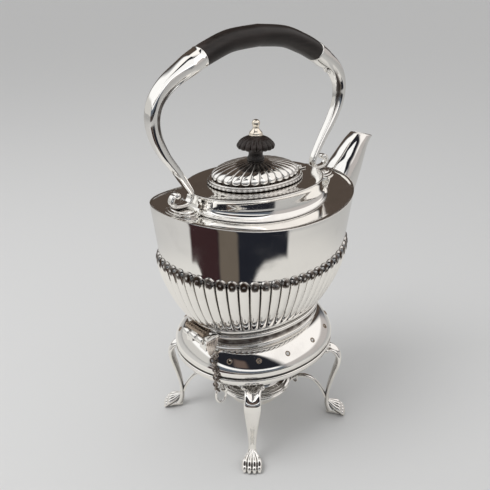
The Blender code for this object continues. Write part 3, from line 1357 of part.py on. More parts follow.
def wick(parent):
    """Cotton wick, from the reservoir to just over its tube."""
    top = DRUM_TOP_Z + DRUM_CROWN + WICK_TUBE_HEIGHT + WICK_SHOWS
    bottom = FLANGE_Z - BOWL_DEPTH + 2 * SHEET
    profile = [(0, bottom), (WICK_RADIUS, bottom), (WICK_RADIUS, top - SHEET)]
    profile += [(WICK_RADIUS * WICK_TIP_SHARE, top), (0, top)]
    return piece("wick", turned(profile, 12), parent, COTTON, 0, 0.9)


# Chain

SHELL_OUTLINE_SHARES = ((0.48, 0), (0.5, -0.2), (0.42, -0.5), (0.3, -0.74), (0.22, -0.93), (0, -1),
                        (-0.22, -0.93), (-0.3, -0.74), (-0.42, -0.5), (-0.5, -0.2), (-0.48, 0))
SHELL_EYE_SHARE = 0.84              # down the shell's height
PIN_RING_HUNG_AT = math.radians(115)  # where on the ring the shell holds it
PIN_RING_CHAIN_AT = math.radians(290)
CHAIN_RING_HUNG_AT = math.radians(60)
CHAIN_RING_CHAIN_AT = math.radians(125)
CHAIN_START_DIRECTION = Vector((-0.75, -0.35, -0.55))
CHAIN_END_DIRECTION = Vector((-0.55, 0.1, 0.83))
CHAIN_SHOULDER_SHARE = 0.88         # of the apron's spread, where the chain bends over it
CHAIN_RING_LIFT_SHARE = 1.6         # of the two wires and their gap, as the ring's wire crosses at a slant
UP = Vector((0, 0, 1))


def shell_eye():
    """Middle of the shell's lower end, where the ring passes through it."""
    y = -(pin_places()[1] + GAP + SHELL_THICKNESS / 2)
    top = HINGE_Z + BAR_RISE - BAR_HEIGHT / 2 - GAP
    x = -HINGE_REACH + BAR_SHIFT + SHELL_LEAN * SHELL_EYE_SHARE
    return Vector((x, y, top - SHELL_HEIGHT * SHELL_EYE_SHARE))


def on_ring(middle, turn, half_width, half_height, at):
    return middle + level(turn) * (half_width * math.cos(at)) + UP * (half_height * math.sin(at))


def pin_shell(parent):
    """Shell-shaped plate that hangs under the bar, with an eye for the ring."""
    eye = shell_eye()
    top = eye.z + SHELL_HEIGHT * SHELL_EYE_SHARE
    middle_x = -HINGE_REACH + BAR_SHIFT
    rings = []
    for side in (-1, 1):
        y = eye.y + side * SHELL_THICKNESS / 2
        rings.append([(middle_x + SHELL_WIDTH * u - SHELL_LEAN * v, y, top + SHELL_HEIGHT * v)
                      for u, v in SHELL_OUTLINE_SHARES])
    made = piece("pin_shell", loft(rings), parent, AGED_SILVER)
    way = rod_y(SHELL_EYE_RADIUS, eye.y - SHELL_THICKNESS, eye.y + SHELL_THICKNESS, eye.x, eye.z, 10)
    cut(made, guide("guide_shell_eye", way, parent))


def pin_ring_middle():
    return on_ring(shell_eye(), PIN_RING_TURN, -PIN_RING_RADIUS, -PIN_RING_RADIUS, PIN_RING_HUNG_AT)


def pin_ring(parent):
    """Round ring through the shell's eye."""
    r = PIN_RING_RADIUS
    ring = link(pin_ring_middle(), level(PIN_RING_TURN), UP, r, r, RING_WIRE, 14)
    piece("pin_ring", ring, parent, AGED_SILVER)


def eyelet_middle():
    """The eyelet hangs under the rim, a little inside its outer edge."""
    x = EYELET_FROM_END - APRON_HALF_LENGTH
    length = APRON_HALF_LENGTH - APRON_RIM_TUCK - EYELET_INSET
    width = APRON_HALF_WIDTH - APRON_RIM_TUCK - EYELET_INSET
    y = -width * (1 - abs(x / length) ** OVAL_POWER) ** (1 / OVAL_POWER)
    return Vector((x, y, APRON_RIM_Z - GAP - EYELET_WIRE - EYELET_RADIUS))


def chain_ring_middle():
    lift = (EYELET_WIRE + CHAIN_RING_WIRE + GAP) * CHAIN_RING_LIFT_SHARE
    held = eyelet_middle() - UP * (EYELET_RADIUS - lift)
    return on_ring(held, CHAIN_RING_TURN, -CHAIN_RING_HALF_WIDTH, -CHAIN_RING_HALF_HEIGHT, CHAIN_RING_HUNG_AT)


def chain_eyelet(parent):
    """Ring made fast under the apron's rim."""
    r = EYELET_RADIUS
    ring = link(eyelet_middle(), level(EYELET_TURN), UP, r, r, EYELET_WIRE, 12)
    piece("chain_eyelet", ring, parent, AGED_SILVER)


def chain_ring(parent):
    """Large oval ring between the chain and the eyelet."""
    piece("chain_ring", link(chain_ring_middle(), level(CHAIN_RING_TURN), UP, CHAIN_RING_HALF_WIDTH,
                             CHAIN_RING_HALF_HEIGHT, CHAIN_RING_WIRE, 14), parent, AGED_SILVER)


def outside_apron(y, share):
    """A place beside the apron at a share of its spread, clear of it by the chain's room."""
    length, width, z = apron_size(share)
    length, width = length + CHAIN_STAND_OFF, width + CHAIN_STAND_OFF
    return Vector((-length * (1 - abs(y / width) ** OVAL_POWER) ** (1 / OVAL_POWER), y, z))


def along_ring(turn, half_width, half_height, at):
    """The direction of a ring's wire at an angle on it."""
    return (level(turn) * (-half_width * math.sin(at)) + UP * (half_height * math.cos(at))).normalized()


def end_link(held, along_wire, away, wire):
    """Middle, radius and two directions of a round link that holds a ring's wire and leans away from it."""
    away = away.normalized()
    across = away.cross(along_wire).normalized()
    radius = wire + LINK_WIRE + GAP + END_LINK_ROOM
    return held + away * END_LINK_ROOM, radius, across, away


def chain(parent):
    """Fine chain from the pin's ring to the oval ring, its links pressed into one another."""
    r = PIN_RING_RADIUS
    top = end_link(on_ring(pin_ring_middle(), PIN_RING_TURN, r, r, PIN_RING_CHAIN_AT),
                   along_ring(PIN_RING_TURN, r, r, PIN_RING_CHAIN_AT), CHAIN_START_DIRECTION, RING_WIRE)
    size = (CHAIN_RING_HALF_WIDTH, CHAIN_RING_HALF_HEIGHT)
    low = end_link(on_ring(chain_ring_middle(), CHAIN_RING_TURN, *size, CHAIN_RING_CHAIN_AT),
                   along_ring(CHAIN_RING_TURN, *size, CHAIN_RING_CHAIN_AT),
                   CHAIN_END_DIRECTION, CHAIN_RING_WIRE)
    half = LINK_LENGTH / 2 - LINK_WIRE
    overlap = 2 * LINK_WIRE * (1 - LINK_BITE_SHARE)
    ends = [middle + away * (radius - overlap + half) for middle, radius, _, away in (top, low)]
    hang_y = ends[1].y - CHAIN_SWING
    side = outside_apron(hang_y, 1)
    rim_z = APRON_RIM_Z + APRON_RIM_HEIGHT / 2
    line = smooth_path((ends[0], outside_apron((ends[0].y + hang_y) / 2, CHAIN_SHOULDER_SHARE), side,
                        Vector((side.x, hang_y, rim_z)), ends[1]), 12)
    run = [0]
    for a, b in zip(line, line[1:]):
        run.append(run[-1] + (b - a).length)
    steps = round(run[-1] / (2 * half - overlap))
    middle, radius, across, away = top
    links = ([], [link(middle, across, away, radius, radius, LINK_WIRE, 8, 3)])
    k = 0
    for count in range(steps + 1):
        goal = run[-1] * count / steps
        while k < len(line) - 2 and run[k + 1] < goal:
            k += 1
        spot = line[k].lerp(line[k + 1], (goal - run[k]) / (run[k + 1] - run[k]))
        along = (line[k + 1] - line[k]).normalized()
        across = along.cross(across).normalized()
        links[count % 2].append(link(spot, across, along, LINK_WIDTH / 2 - LINK_WIRE, half, LINK_WIRE, 8, 3))
    middle, radius, across, away = low
    links[(steps + 1) % 2].append(link(middle, across, away, radius, radius, LINK_WIRE, 8, 3))
    made = piece("chain", both(*links[0]), parent, AGED_SILVER)
    join(made, guide("guide_chain", both(*links[1]), parent))


def middle_of_length():
    """The point under the middle of the model's length, which the model's origin stands at."""
    rear = min(x for ring in upright_rings(-1, GRIP_REAR_REACH) for x, _, _ in ring)
    front = SHOULDER_HALF_LENGTH + SPOUT_REACH
    return Vector(((front + rear) / 2, 0, 0))


def build():
    clear_scene()
    stand = anchor_empty("stand_middle", (0, 0, 0))
    tilt = anchor_empty("kettle_tilt_axis", (HINGE_REACH, 0, HINGE_Z), stand)
    lid_axis = anchor_empty("lid_hinge_axis", (LID_HINGE_X, 0, LID_HINGE_Z), tilt)
    rear = anchor_empty("rear_pin_axis", (-HINGE_REACH, 0, HINGE_Z), stand)
    front = anchor_empty("front_pin_axis", (HINGE_REACH, 0, HINGE_Z), stand)
    lamp = anchor_empty("burner_lift_axis", (0, 0, FLANGE_Z), stand)

    kettle_body(tilt)
    foot_ring(tilt)
    shoulder(tilt)
    collar(tilt)
    spout(tilt)
    uprights = [handle_upright("handle_rear", -1, GRIP_REAR_REACH, tilt),
                handle_upright("handle_front", 1, GRIP_FRONT_REACH, tilt)]
    grip = handle_grip(tilt)
    grip_rivets(tilt, uprights, grip)
    collar_cutter = guide("guide_collar", collar_envelope(GAP), tilt)
    plinth("plinth_rear", -1, tilt, collar_cutter)
    plinth("plinth_front", 1, tilt, collar_cutter)
    foot_cutter = guide("guide_foot", foot_envelope(GAP), tilt)
    crest_cutter = guide("guide_crests", bowl_envelope(GAP), tilt)
    lug("lug_rear", -1, tilt, (foot_cutter, crest_cutter))
    lug("lug_front", 1, tilt, (foot_cutter, crest_cutter))
    lid_hinge_seat(tilt)
    lid_hinge_pin(tilt)

    lid_dome(lid_axis)
    lid_rim(lid_axis)
    lid_hinge_leaf(lid_axis)
    knob(lid_axis)
    finial(lid_axis)
    lid_nut(lid_axis)

    apron(stand)
    apron_rim(stand)
    socket_ring(stand)
    burner_ring(stand)
    for end, side_x in (("rear", -1), ("front", 1)):
        for hand, side_y in (("right", -1), ("left", 1)):
            leg(f"leg_{end}_{hand}", side_x, side_y, stand)
            bracket(f"bracket_{end}_{hand}", side_x, side_y, stand)
    socket_cutter = guide("guide_socket", socket_envelope(GAP), stand)
    apron_cutter = guide("guide_apron", apron_envelope(GAP), stand)
    stand_knuckles("knuckles_rear", -1, stand, (socket_cutter, apron_cutter))
    stand_knuckles("knuckles_front", 1, stand, (socket_cutter, apron_cutter))
    burner_bowl(lamp)
    burner_drum(lamp)
    wick_tube(lamp)
    wick(lamp)
    hinge_pin("rear_pin", -1, 1, rear)
    hinge_pin("front_pin", 1, -1, front)
    pin_shell(rear)
    pin_ring(rear)
    chain(rear)
    chain_ring(stand)
    chain_eyelet(stand)


build()
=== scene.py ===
"""Looks of the half-fluted spirit kettle on its stand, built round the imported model.

Everything is in metres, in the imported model's frame, apart from the profiles that mm() turns into
metres. Section 1 reads the main sizes from the frame, section 2 holds the shape tools, section 3 the
materials, section 4 the pieces and section 5 the stage.
"""
import json
from itertools import accumulate
from math import atan2, copysign, cos, exp, hypot, pi, radians, sin, sqrt, tau

import bmesh
import bpy
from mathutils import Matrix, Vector
from mathutils.geometry import interpolate_bezier

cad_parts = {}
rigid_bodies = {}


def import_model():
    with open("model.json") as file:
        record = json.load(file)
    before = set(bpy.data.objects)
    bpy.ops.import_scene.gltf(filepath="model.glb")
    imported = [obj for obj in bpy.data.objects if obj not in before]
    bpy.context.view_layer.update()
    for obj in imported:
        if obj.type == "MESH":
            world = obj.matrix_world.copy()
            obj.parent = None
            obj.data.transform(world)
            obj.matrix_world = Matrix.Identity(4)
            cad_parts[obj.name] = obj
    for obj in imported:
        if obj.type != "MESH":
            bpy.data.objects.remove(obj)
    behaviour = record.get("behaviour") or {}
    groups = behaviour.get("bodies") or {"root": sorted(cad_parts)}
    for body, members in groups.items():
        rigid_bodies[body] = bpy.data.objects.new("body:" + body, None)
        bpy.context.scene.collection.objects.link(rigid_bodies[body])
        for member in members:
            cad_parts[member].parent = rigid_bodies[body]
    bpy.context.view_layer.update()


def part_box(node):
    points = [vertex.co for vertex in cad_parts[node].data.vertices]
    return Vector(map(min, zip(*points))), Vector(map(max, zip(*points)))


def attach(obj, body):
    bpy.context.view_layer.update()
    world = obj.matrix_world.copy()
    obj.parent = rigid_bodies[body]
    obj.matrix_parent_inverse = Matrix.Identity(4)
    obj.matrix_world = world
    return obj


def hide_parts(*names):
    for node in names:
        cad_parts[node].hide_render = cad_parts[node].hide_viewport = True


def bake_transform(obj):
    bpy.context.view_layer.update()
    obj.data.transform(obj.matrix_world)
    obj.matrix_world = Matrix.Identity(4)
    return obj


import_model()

# 1. Sizes. An oval's size is its half length and half width.

ALONG, ACROSS, UP = Vector((1, 0, 0)), Vector((0, 1, 0)), Vector((0, 0, 1))
SHEET = 0.0012                       # thickness of the plated sheet
OVAL_POWER = 2.15                    # 2 is an ellipse, more is squarer
ENDS = (("rear", -1), ("front", 1))


def oval_of(name):
    """Size of an oval node and the heights of its bottom and top."""
    low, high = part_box(name)
    return ((high.x - low.x) / 2, high.y), low.z, high.z


def grown(size, out):
    return size[0] + out, size[1] + out


def between(a, b, share):
    """Mixes two sizes."""
    return a[0] + (b[0] - a[0]) * share, a[1] + (b[1] - a[1]) * share


AXIS_X = sum(corner.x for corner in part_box("shoulder")) / 2      # the kettle's upright axis
AXIS = ALONG * AXIS_X
SHOULDER, SHOULDER_UNDER_Z, SHOULDER_END_Z = oval_of("shoulder")
SHOULDER_Z = SHOULDER_UNDER_Z + SHEET                # top of the plate at its middle
END_RISE = SHOULDER_END_Z - SHOULDER_Z               # how much higher its two ends stand
FOOT, FOOT_Z, FOOT_TOP_Z = oval_of("foot_ring")
COLLAR, _, DECK_Z = oval_of("collar")
COVE = 0.0045                        # how far the collar's base flares out from its wall
DECK = grown(COLLAR, -COVE)
LID, LID_Z, LID_TOP_Z = oval_of("lid_rim")
APRON, APRON_Z, APRON_TOP_Z = oval_of("apron")
RIM, RIM_Z, RIM_TOP_Z = oval_of("apron_rim")


# 2. Shape tools. A shape is a list of points, a list of faces and the tarnish and painted shade at each
#    point.

def bent(value, power):
    """A power that keeps the sign."""
    return copysign(abs(value) ** power, value)


def around(count):
    return [tau * i / count for i in range(count)]


def oval_point(size, angle, out=0):
    power = 2 / OVAL_POWER
    return (size[0] + out) * bent(cos(angle), power), (size[1] + out) * bent(sin(angle), power)


def lengths(path):
    """Distance from the start of a path to each of its points."""
    return list(accumulate(((b - a).length for a, b in zip(path, path[1:])), initial=0))


def ways(path):
    """Direction of a path at each of its points."""
    return [(b - a).normalized() for a, b in zip(path[:1] + path, path[1:] + path[-1:])]


def places_on(run, goals):
    """For each distance: the stretch of the run that it falls in, and its share of that stretch."""
    k = 0
    for goal in goals:
        while k < len(run) - 2 and run[k + 1] < goal:
            k += 1
        yield k, (goal - run[k]) / (run[k + 1] - run[k])


def oval_line(size, steps):
    return [Vector(oval_point(size, tau * i / steps)) for i in range(steps + 1)]


def even_angles(size, count):
    """Angles that space points evenly along the oval, starting at its front end."""
    fine = count * 8
    run = lengths(oval_line(size, fine))
    goals = [run[-1] * i / count for i in range(count)]
    return [tau * (k + part) / fine for k, part in places_on(run, goals)]


def half_flute(size, flutes):
    return lengths(oval_line(size, 360))[-1] / flutes / 2


def off_middle(flutes, columns):
    """How far each point round an oval lies from the middle of its flute, in half flutes."""
    return [abs((i / columns + 0.5) % 1 - 0.5) * 2 for i in range(flutes * columns)]


def end_rise(x):
    """How much higher the shoulder stands at a distance along the kettle."""
    return END_RISE * (x / SHOULDER[0]) ** 2


def oval_ring(size, z, angles, rise=0, out=0, middle_x=0):
    """A level oval ring, or one whose ends rise with the shoulder."""
    spots = [oval_point(size, angle, out) for angle in angles]
    return [(AXIS_X + middle_x + x, y, z + rise * end_rise(middle_x + x)) for x, y in spots]


def hoop(middle, u, v, count):
    """A ring of points round a middle, from the end of u towards the end of v."""
    return [middle + u * cos(a) + v * sin(a) for a in around(count)]


def loft(rings, closed=False, tarnish_and_shade=()):
    """Skins rings of equal count. Open ends are closed by a fan. Points given no tarnish or painted shade
    are clean.
    """
    points = [tuple(point) for ring in rings for point in ring]
    faces = []
    count, rows = len(rings[0]), len(rings)
    for row in range(rows if closed else rows - 1):
        a, b = row * count, (row + 1) % rows * count
        for i in range(count):
            j = (i + 1) % count
            faces.append((a + i, a + j, b + j, b + i))
    for row in () if closed else (0, rows - 1):
        start, tip = row * count, len(points)
        points.append(tuple(sum((Vector(point) for point in rings[row]), Vector()) / count))
        faces.extend((start + i, start + (i + 1) % count, tip) for i in range(count))
    return points, faces, list(tarnish_and_shade) + [0] * (len(points) - len(tarnish_and_shade))


def both(*shapes):
    """Several closed shapes as one."""
    points, faces, tarnish_and_shade = [], [], []
    for some_points, some_faces, some_tarnish_and_shade in shapes:
        faces.extend([tuple(len(points) + i for i in face) for face in some_faces])
        points.extend(some_points)
        tarnish_and_shade.extend(some_tarnish_and_shade)
    return points, faces, tarnish_and_shade


def mm(out, z, *steps):
    """A profile of (distance out, height) from steps in millimetres."""
    return [(out + a / 1000, z + b / 1000) for a, b in steps]


def arc(out, z, radius, start, end, steps):
    """A round part of a profile, with angles in degrees from straight out."""
    turns = [radians(start + (end - start) * i / steps) for i in range(steps + 1)]
    return [(out + radius * cos(a), z + radius * sin(a)) for a in turns]


def oval_moulding(size, profile, columns=144, tarnish_and_shade=()):
    """Sweeps a profile round an oval; the tarnish and painted shade given is that of the first rows."""
    angles = even_angles(size, columns)
    rings = [oval_ring(size, z, angles, out=out) for out, z in profile]
    return loft(rings, True, [value for value in tarnish_and_shade for _ in angles])


def turned(profile, sides, middle=(AXIS_X, 0), closed=False, level=False):
    """Turns a profile of (radius, place) round an upright axis, or a level one across the kettle."""
    rings = []
    for radius, place in profile:
        r = max(radius, 1e-6)
        spots = [(middle[0] + r * cos(a), middle[1] + r * sin(a)) for a in around(sides)]
        rings.append([(x, place, y) if level else (x, y, place) for x, y in spots])
    return loft(rings, closed)


def spindle(x, z, low, high, sides, *half):
    """A level bar with the same profile of (radius, distance in) at both ends."""
    profile = [(r, low + inwards) for r, inwards in half]
    profile += [(r, high - inwards) for r, inwards in half[::-1]]
    return turned(profile, sides, (x, z), level=True)


def barrel(x, z, radius, start, end, edge=0.00025):
    """A hinge knuckle with softened ends."""
    low, high = sorted((start, end))
    return spindle(x, z, low, high, 36, (0, 0), (radius - edge, 0), (radius, edge))


def smooth_path(knots, steps):
    """A smooth curve through the knots, with the given number of steps between two of them."""
    knots = [Vector(knot).to_3d() for knot in knots]
    path = []
    for i, (start, end) in enumerate(zip(knots, knots[1:])):
        before, after = knots[max(i - 1, 0)], knots[min(i + 2, len(knots) - 1)]
        handles = start + (end - before) / 6, end - (after - start) / 6
        path.extend(interpolate_bezier(start, *handles, end, steps + 1)[:-1])
    return path + knots[-1:]


def smooth_rows(rows, steps=6):
    """The rows of a table with more rows between them, each column on a smooth curve."""
    columns = [smooth_path([(value, 0) for value in column], steps) for column in zip(*rows)]
    return list(zip(*([spot.x for spot in column] for column in columns)))


def table(pairs, share):
    """Reads a table of (share, value) pairs, going evenly between them."""
    if share <= pairs[0][0]:
        return pairs[0][1]
    for (s0, v0), (s1, v1) in zip(pairs, pairs[1:]):
        if share <= s1:
            return v0 + (v1 - v0) * (share - s0) / (s1 - s0)
    return pairs[-1][1]


def smooth_step(low, high, value):
    k = min(1, max(0, (value - low) / (high - low)))
    return k * k * (3 - 2 * k)


def ring_of_wire(centre, across, up, half_width, half_height, wire, sides=40, wire_sides=12):
    """A closed ring of round wire, in the plane of the two given directions."""
    rings = []
    for a in around(sides):
        out = (across * (half_height * cos(a)) + up * (half_width * sin(a))).normalized()
        spot = centre + across * (half_width * cos(a)) + up * (half_height * sin(a))
        rings.append(hoop(spot, out * wire, across.cross(up) * wire, wire_sides))
    return loft(rings, True)


def blob(middle, u, v, w, sides):
    """A rounded lump with three half lengths."""
    turns = [pi * (i + 0.5) / 9 for i in range(9)]
    return loft([hoop(middle + u * cos(a), v * sin(a), w * sin(a), sides) for a in turns])


def rounded_block(a, b, edge):
    """A block between two corners, with its upright edges and rims rounded."""
    (x0, x1), (y0, y1), (z0, z1) = (sorted(pair) for pair in zip(a, b))
    corners = ((x1 - edge, y1 - edge, 0), (x0 + edge, y1 - edge, 90), (x0 + edge, y0 + edge, 180),
               (x1 - edge, y0 + edge, 270))
    bend = [radians(30 * i) for i in range(4)]
    rows = [(z0 + edge * (1 - cos(t)), edge * sin(t)) for t in bend]
    rows += [(z1 - edge * (1 - cos(t)), edge * sin(t)) for t in reversed(bend)]
    return loft([[(x + r * cos(radians(start) + t), y + r * sin(radians(start) + t), z)
                  for x, y, start in corners for t in bend] for z, r in rows])


def solid_mesh(name, shape):
    """A mesh with its faces turned outwards."""
    mesh = bpy.data.meshes.new(name)
    mesh.from_pydata(shape[0], [], shape[1])
    mesh.validate()
    tool = bmesh.new()
    tool.from_mesh(mesh)
    bmesh.ops.recalc_face_normals(tool, faces=tool.faces)
    tool.to_mesh(mesh)
    tool.free()
    return mesh


def add_object(name, data):
    made = bpy.data.objects.new(name, data)
    bpy.context.scene.collection.objects.link(made)
    return made


def make(name, shape, body, material, *nodes, slot="silver", sharp=50):
    """One piece of the scene: rides on its body and stands for the named nodes of the model."""
    mesh = solid_mesh(name, shape)
    mesh.shade_smooth()
    mesh.set_sharp_from_angle(angle=radians(sharp))
    # Per-point tarnish, together with the painted shade and painted dark reflection that some pieces mark,
    # for the silver finishes to read.
    mesh.attributes.new("tarnish_and_painted_shade", "FLOAT", "POINT").data.foreach_set("value", shape[2])
    mesh.materials.append(material)
    made = add_object(name, mesh)
    if body:
        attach(made, body)
    if nodes:
        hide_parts(*nodes)
    return made


# 3. Materials

SILVER = (0.93, 0.915, 0.885)
WARM = (0.93, 0.85, 0.73)
AGED = (0.78, 0.71, 0.65)
LEAF = (0.42, 0.34, 0.27)
TARNISH = (0.060, 0.040, 0.029)
EBONY = (0.012, 0.009, 0.008)
EBONY_WORN = (0.040, 0.030, 0.027)
COTTON = (0.80, 0.76, 0.66)
CHAR = (0.035, 0.030, 0.028)


class Nodes:
    """The node tree of a material or of the world, with short calls to add and wire its nodes."""

    def __init__(self, owner, shader="Principled BSDF", place="Object"):
        owner.use_nodes = True
        self.owner, self.tree = owner, owner.node_tree
        self.shader = self.tree.nodes[shader]
        self.place = self.add("TexCoord", place, {})

    def put(self, socket, value):
        if isinstance(value, bpy.types.NodeSocket):
            self.tree.links.new(value, socket)
        else:
            socket.default_value = (*value, 1) if socket.type == "RGBA" else value

    def add(self, kind, output, inputs, **settings):
        """Adds a node, sets it up, and gives back one of its outputs."""
        node = self.tree.nodes.new("ShaderNode" + kind)
        for key, value in settings.items():
            setattr(node, key, value)
        for key, value in inputs.items():
            self.put(node.inputs[key], value)
        return node.outputs[output]

    def shade(self, inputs):
        """Sets the inputs of the tree's own shader."""
        for key, value in inputs.items():
            self.put(self.shader.inputs[key], value)
        return self.owner

    def noise(self, scale, detail, stretch=None):
        place = self.add("Mapping", 0, {"Vector": self.place, "Scale": stretch}) if stretch else self.place
        return self.add("TexNoise", 0, {"Vector": place, "Scale": scale, "Detail": detail})

    def remap(self, value, low, high, to_low=0, to_high=1):
        return self.add("MapRange", 0, {"Value": value, "From Min": low, "From Max": high, "To Min": to_low,
                                        "To Max": to_high}, interpolation_type="SMOOTHSTEP")

    def math(self, operation, a, b, clamp=False):
        return self.add("Math", 0, {0: a, 1: b}, operation=operation, use_clamp=clamp)

    def plus(self, a, b):
        return self.math("ADD", a, b, True)

    def times(self, first, *others):
        for other in others:
            first = self.math("MULTIPLY", first, other)
        return first

    def rest_of(self, value):
        return self.math("SUBTRACT", 1, value)

    def mix(self, factor, a, b):
        return self.add("Mix", 2, {0: factor, 6: a, 7: b}, data_type="RGBA")

    def bump(self, height, distance, after=None):
        inputs = {"Height": height, "Distance": distance}
        if after:
            inputs["Normal"] = after
        return self.add("Bump", 0, inputs)

    def window(self, value, low, high, soft):
        """1 between low and high, falling off softly on both sides."""
        return self.times(self.remap(value, low - soft, low + soft),
                          self.remap(value, high - soft, high + soft, 1, 0))

    def bearing(self):
        """Degrees round from the camera, to the right of the picture."""
        ways = [self.add("VectorMath", "Value", {0: self.place, 1: way}, operation="DOT_PRODUCT")
                for way in (SIDEWAYS, TOWARD)]
        return self.times(self.math("ARCTAN2", *ways), 180 / pi)

    def for_rays(self, kind, others, these):
        return self.mix(self.add("LightPath", kind, {}), others, these)


def silver_finish(name, clean=SILVER, tarnish=1.0, rough=(0.035, 0.10), ripple=0.00035, reach=0.0035):
    """Polished plate: slow ripples, a worn gloss, and brown tarnish in hollows and corners. The same brown
    also carries the painted shade and painted dark reflection that some pieces mark on their points.
    """
    nodes = Nodes(bpy.data.materials.new(name))
    # This attribute carries tarnish, and also painted shade and painted dark reflection.
    marked_tarnish_and_shade = nodes.add("Attribute", 2, {}, attribute_name="tarnish_and_painted_shade")
    corner = nodes.add("AmbientOcclusion", "AO", {"Distance": reach}, samples=8)
    patchy = nodes.times(marked_tarnish_and_shade, nodes.remap(nodes.noise(140, 5), 0.25, 0.6, 0.72, 1))
    tarnish_and_shade = nodes.plus(nodes.remap(corner, 0.62, 0.22, 0, 0.85 * tarnish), patchy)
    stain_and_shade = nodes.plus(tarnish_and_shade, nodes.times(nodes.remap(nodes.noise(38, 6), 0.52, 0.74), 0.10 * tarnish))
    gloss = nodes.remap(nodes.noise(70, 8), 0.35, 0.72, *rough)
    slow = nodes.bump(nodes.noise(24, 1), ripple)
    return nodes.shade({"Base Color": nodes.mix(stain_and_shade, clean, TARNISH), "Metallic": 1,
                        "Roughness": nodes.plus(gloss, nodes.times(stain_and_shade, 0.30)),
                        "Normal": nodes.bump(nodes.noise(420, 4), ripple * 0.012, slow)})


def ebony_finish(name, rough):
    """Satin black wood with fine grain along the grip and paler worn places."""
    nodes = Nodes(bpy.data.materials.new(name))
    grain = nodes.noise(420, 5, (0.09, 1, 1))
    pale = nodes.plus(nodes.remap(nodes.noise(28, 4), 0.42, 0.75, 0, 0.75),
                      nodes.times(nodes.remap(grain, 0.35, 0.7), 0.45))
    return nodes.shade({"Base Color": nodes.mix(pale, EBONY, EBONY_WORN), "Specular IOR Level": 0.32,
                        "Roughness": nodes.remap(grain, 0.3, 0.75, *rough),
                        "Normal": nodes.bump(grain, 0.00006)})


def cotton_finish(name, foot_z, top_z):
    """Woven cotton, charred at its tip."""
    nodes = Nodes(bpy.data.materials.new(name))
    height = nodes.add("SeparateXYZ", "Z", {"Vector": nodes.place})
    weave = nodes.add("TexWave", 1, {"Vector": nodes.place, "Scale": 260, "Distortion": 3},
                      wave_type="BANDS", bands_direction="DIAGONAL")
    return nodes.shade({"Base Color": nodes.mix(nodes.remap(height, foot_z, top_z), COTTON, CHAR),
                        "Roughness": 0.92, "Normal": nodes.bump(weave, 0.0003)})


silver = silver_finish("silver_plate")
cast_silver = silver_finish("cast_silver", tarnish=1.15, rough=(0.06, 0.15), ripple=0.0002, reach=0.0025)
warm_silver = silver_finish("warm_silver", WARM)
aged_silver = silver_finish("aged_silver", AGED, 1.15, (0.10, 0.24), reach=0.0010)
leaf_finish = silver_finish("worn_leaf", LEAF, 1.3, (0.20, 0.38), reach=0.0020)
ebony = ebony_finish("ebony", (0.30, 0.42))
carved_ebony = ebony_finish("carved_ebony", (0.20, 0.32))


# 4. Pieces

# Bowl

FLUTES = 56
FLUTE_COLUMNS = 14                   # points across one flute
FLUTE_PROUD = 0.0036
FLUTE_TOP_Z = 0.1740
FLUTE_FOOT_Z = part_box("kettle_body")[0].z
FLUTE_FULLNESS_SHARES = ((0, 1), (0.25, 1), (0.55, 0.82), (0.85, 0.55), (1, 0.45))
FLUTE_ROUND = 2.3                    # 2 is a half circle across, more is flatter
FLUTE_TOP_LENGTH = 1.3               # length of a flute's domed end, in half widths
FLUTE_END_STEP = 0.00035             # distance between rows near a flute's ends
FLUTE_END_ROWS = 12
BAND_INSET = 0.0050
BAND = grown(SHOULDER, -BAND_INSET)
BOWL_FOOT = (SHOULDER[0] * 0.685, SHOULDER[1] * 0.671)
BOWL_BEND = 1.35
BOWL_STEPS = 600
RIM_THICKNESS = 0.0013


def bowl_size(share):
    """Size and height of the bowl, from the flutes' tops at share 0 to their feet at 1."""
    drawn = max(0, 1 - share ** BOWL_BEND) ** (1 / BOWL_BEND)
    return between(BOWL_FOOT, BAND, drawn), FLUTE_TOP_Z + (FLUTE_FOOT_Z - FLUTE_TOP_Z) * share


def flute_rows():
    """Rows down the flutes: (distance down, share, slope out, slope up), closer together at both ends."""
    sizes = [bowl_size(i / BOWL_STEPS) for i in range(BOWL_STEPS + 1)]
    line = [Vector(((size[0] + size[1]) / 2, z)) for size, z in sizes]
    run = lengths(line)
    near = [FLUTE_END_STEP * k for k in range(FLUTE_END_ROWS + 1)]
    gap, between_rows = run[-1] - 2 * near[-1], 34
    places = near + [near[-1] + gap * k / between_rows for k in range(1, between_rows)]
    places += [run[-1] - inwards for inwards in reversed(near)]
    rows = []
    for place, (k, part) in zip(places, places_on(run, places)):
        way = (line[k + 1] - line[k]).normalized()
        rows.append((place, (k + part) / BOWL_STEPS, -way.y, way.x))
    return rows


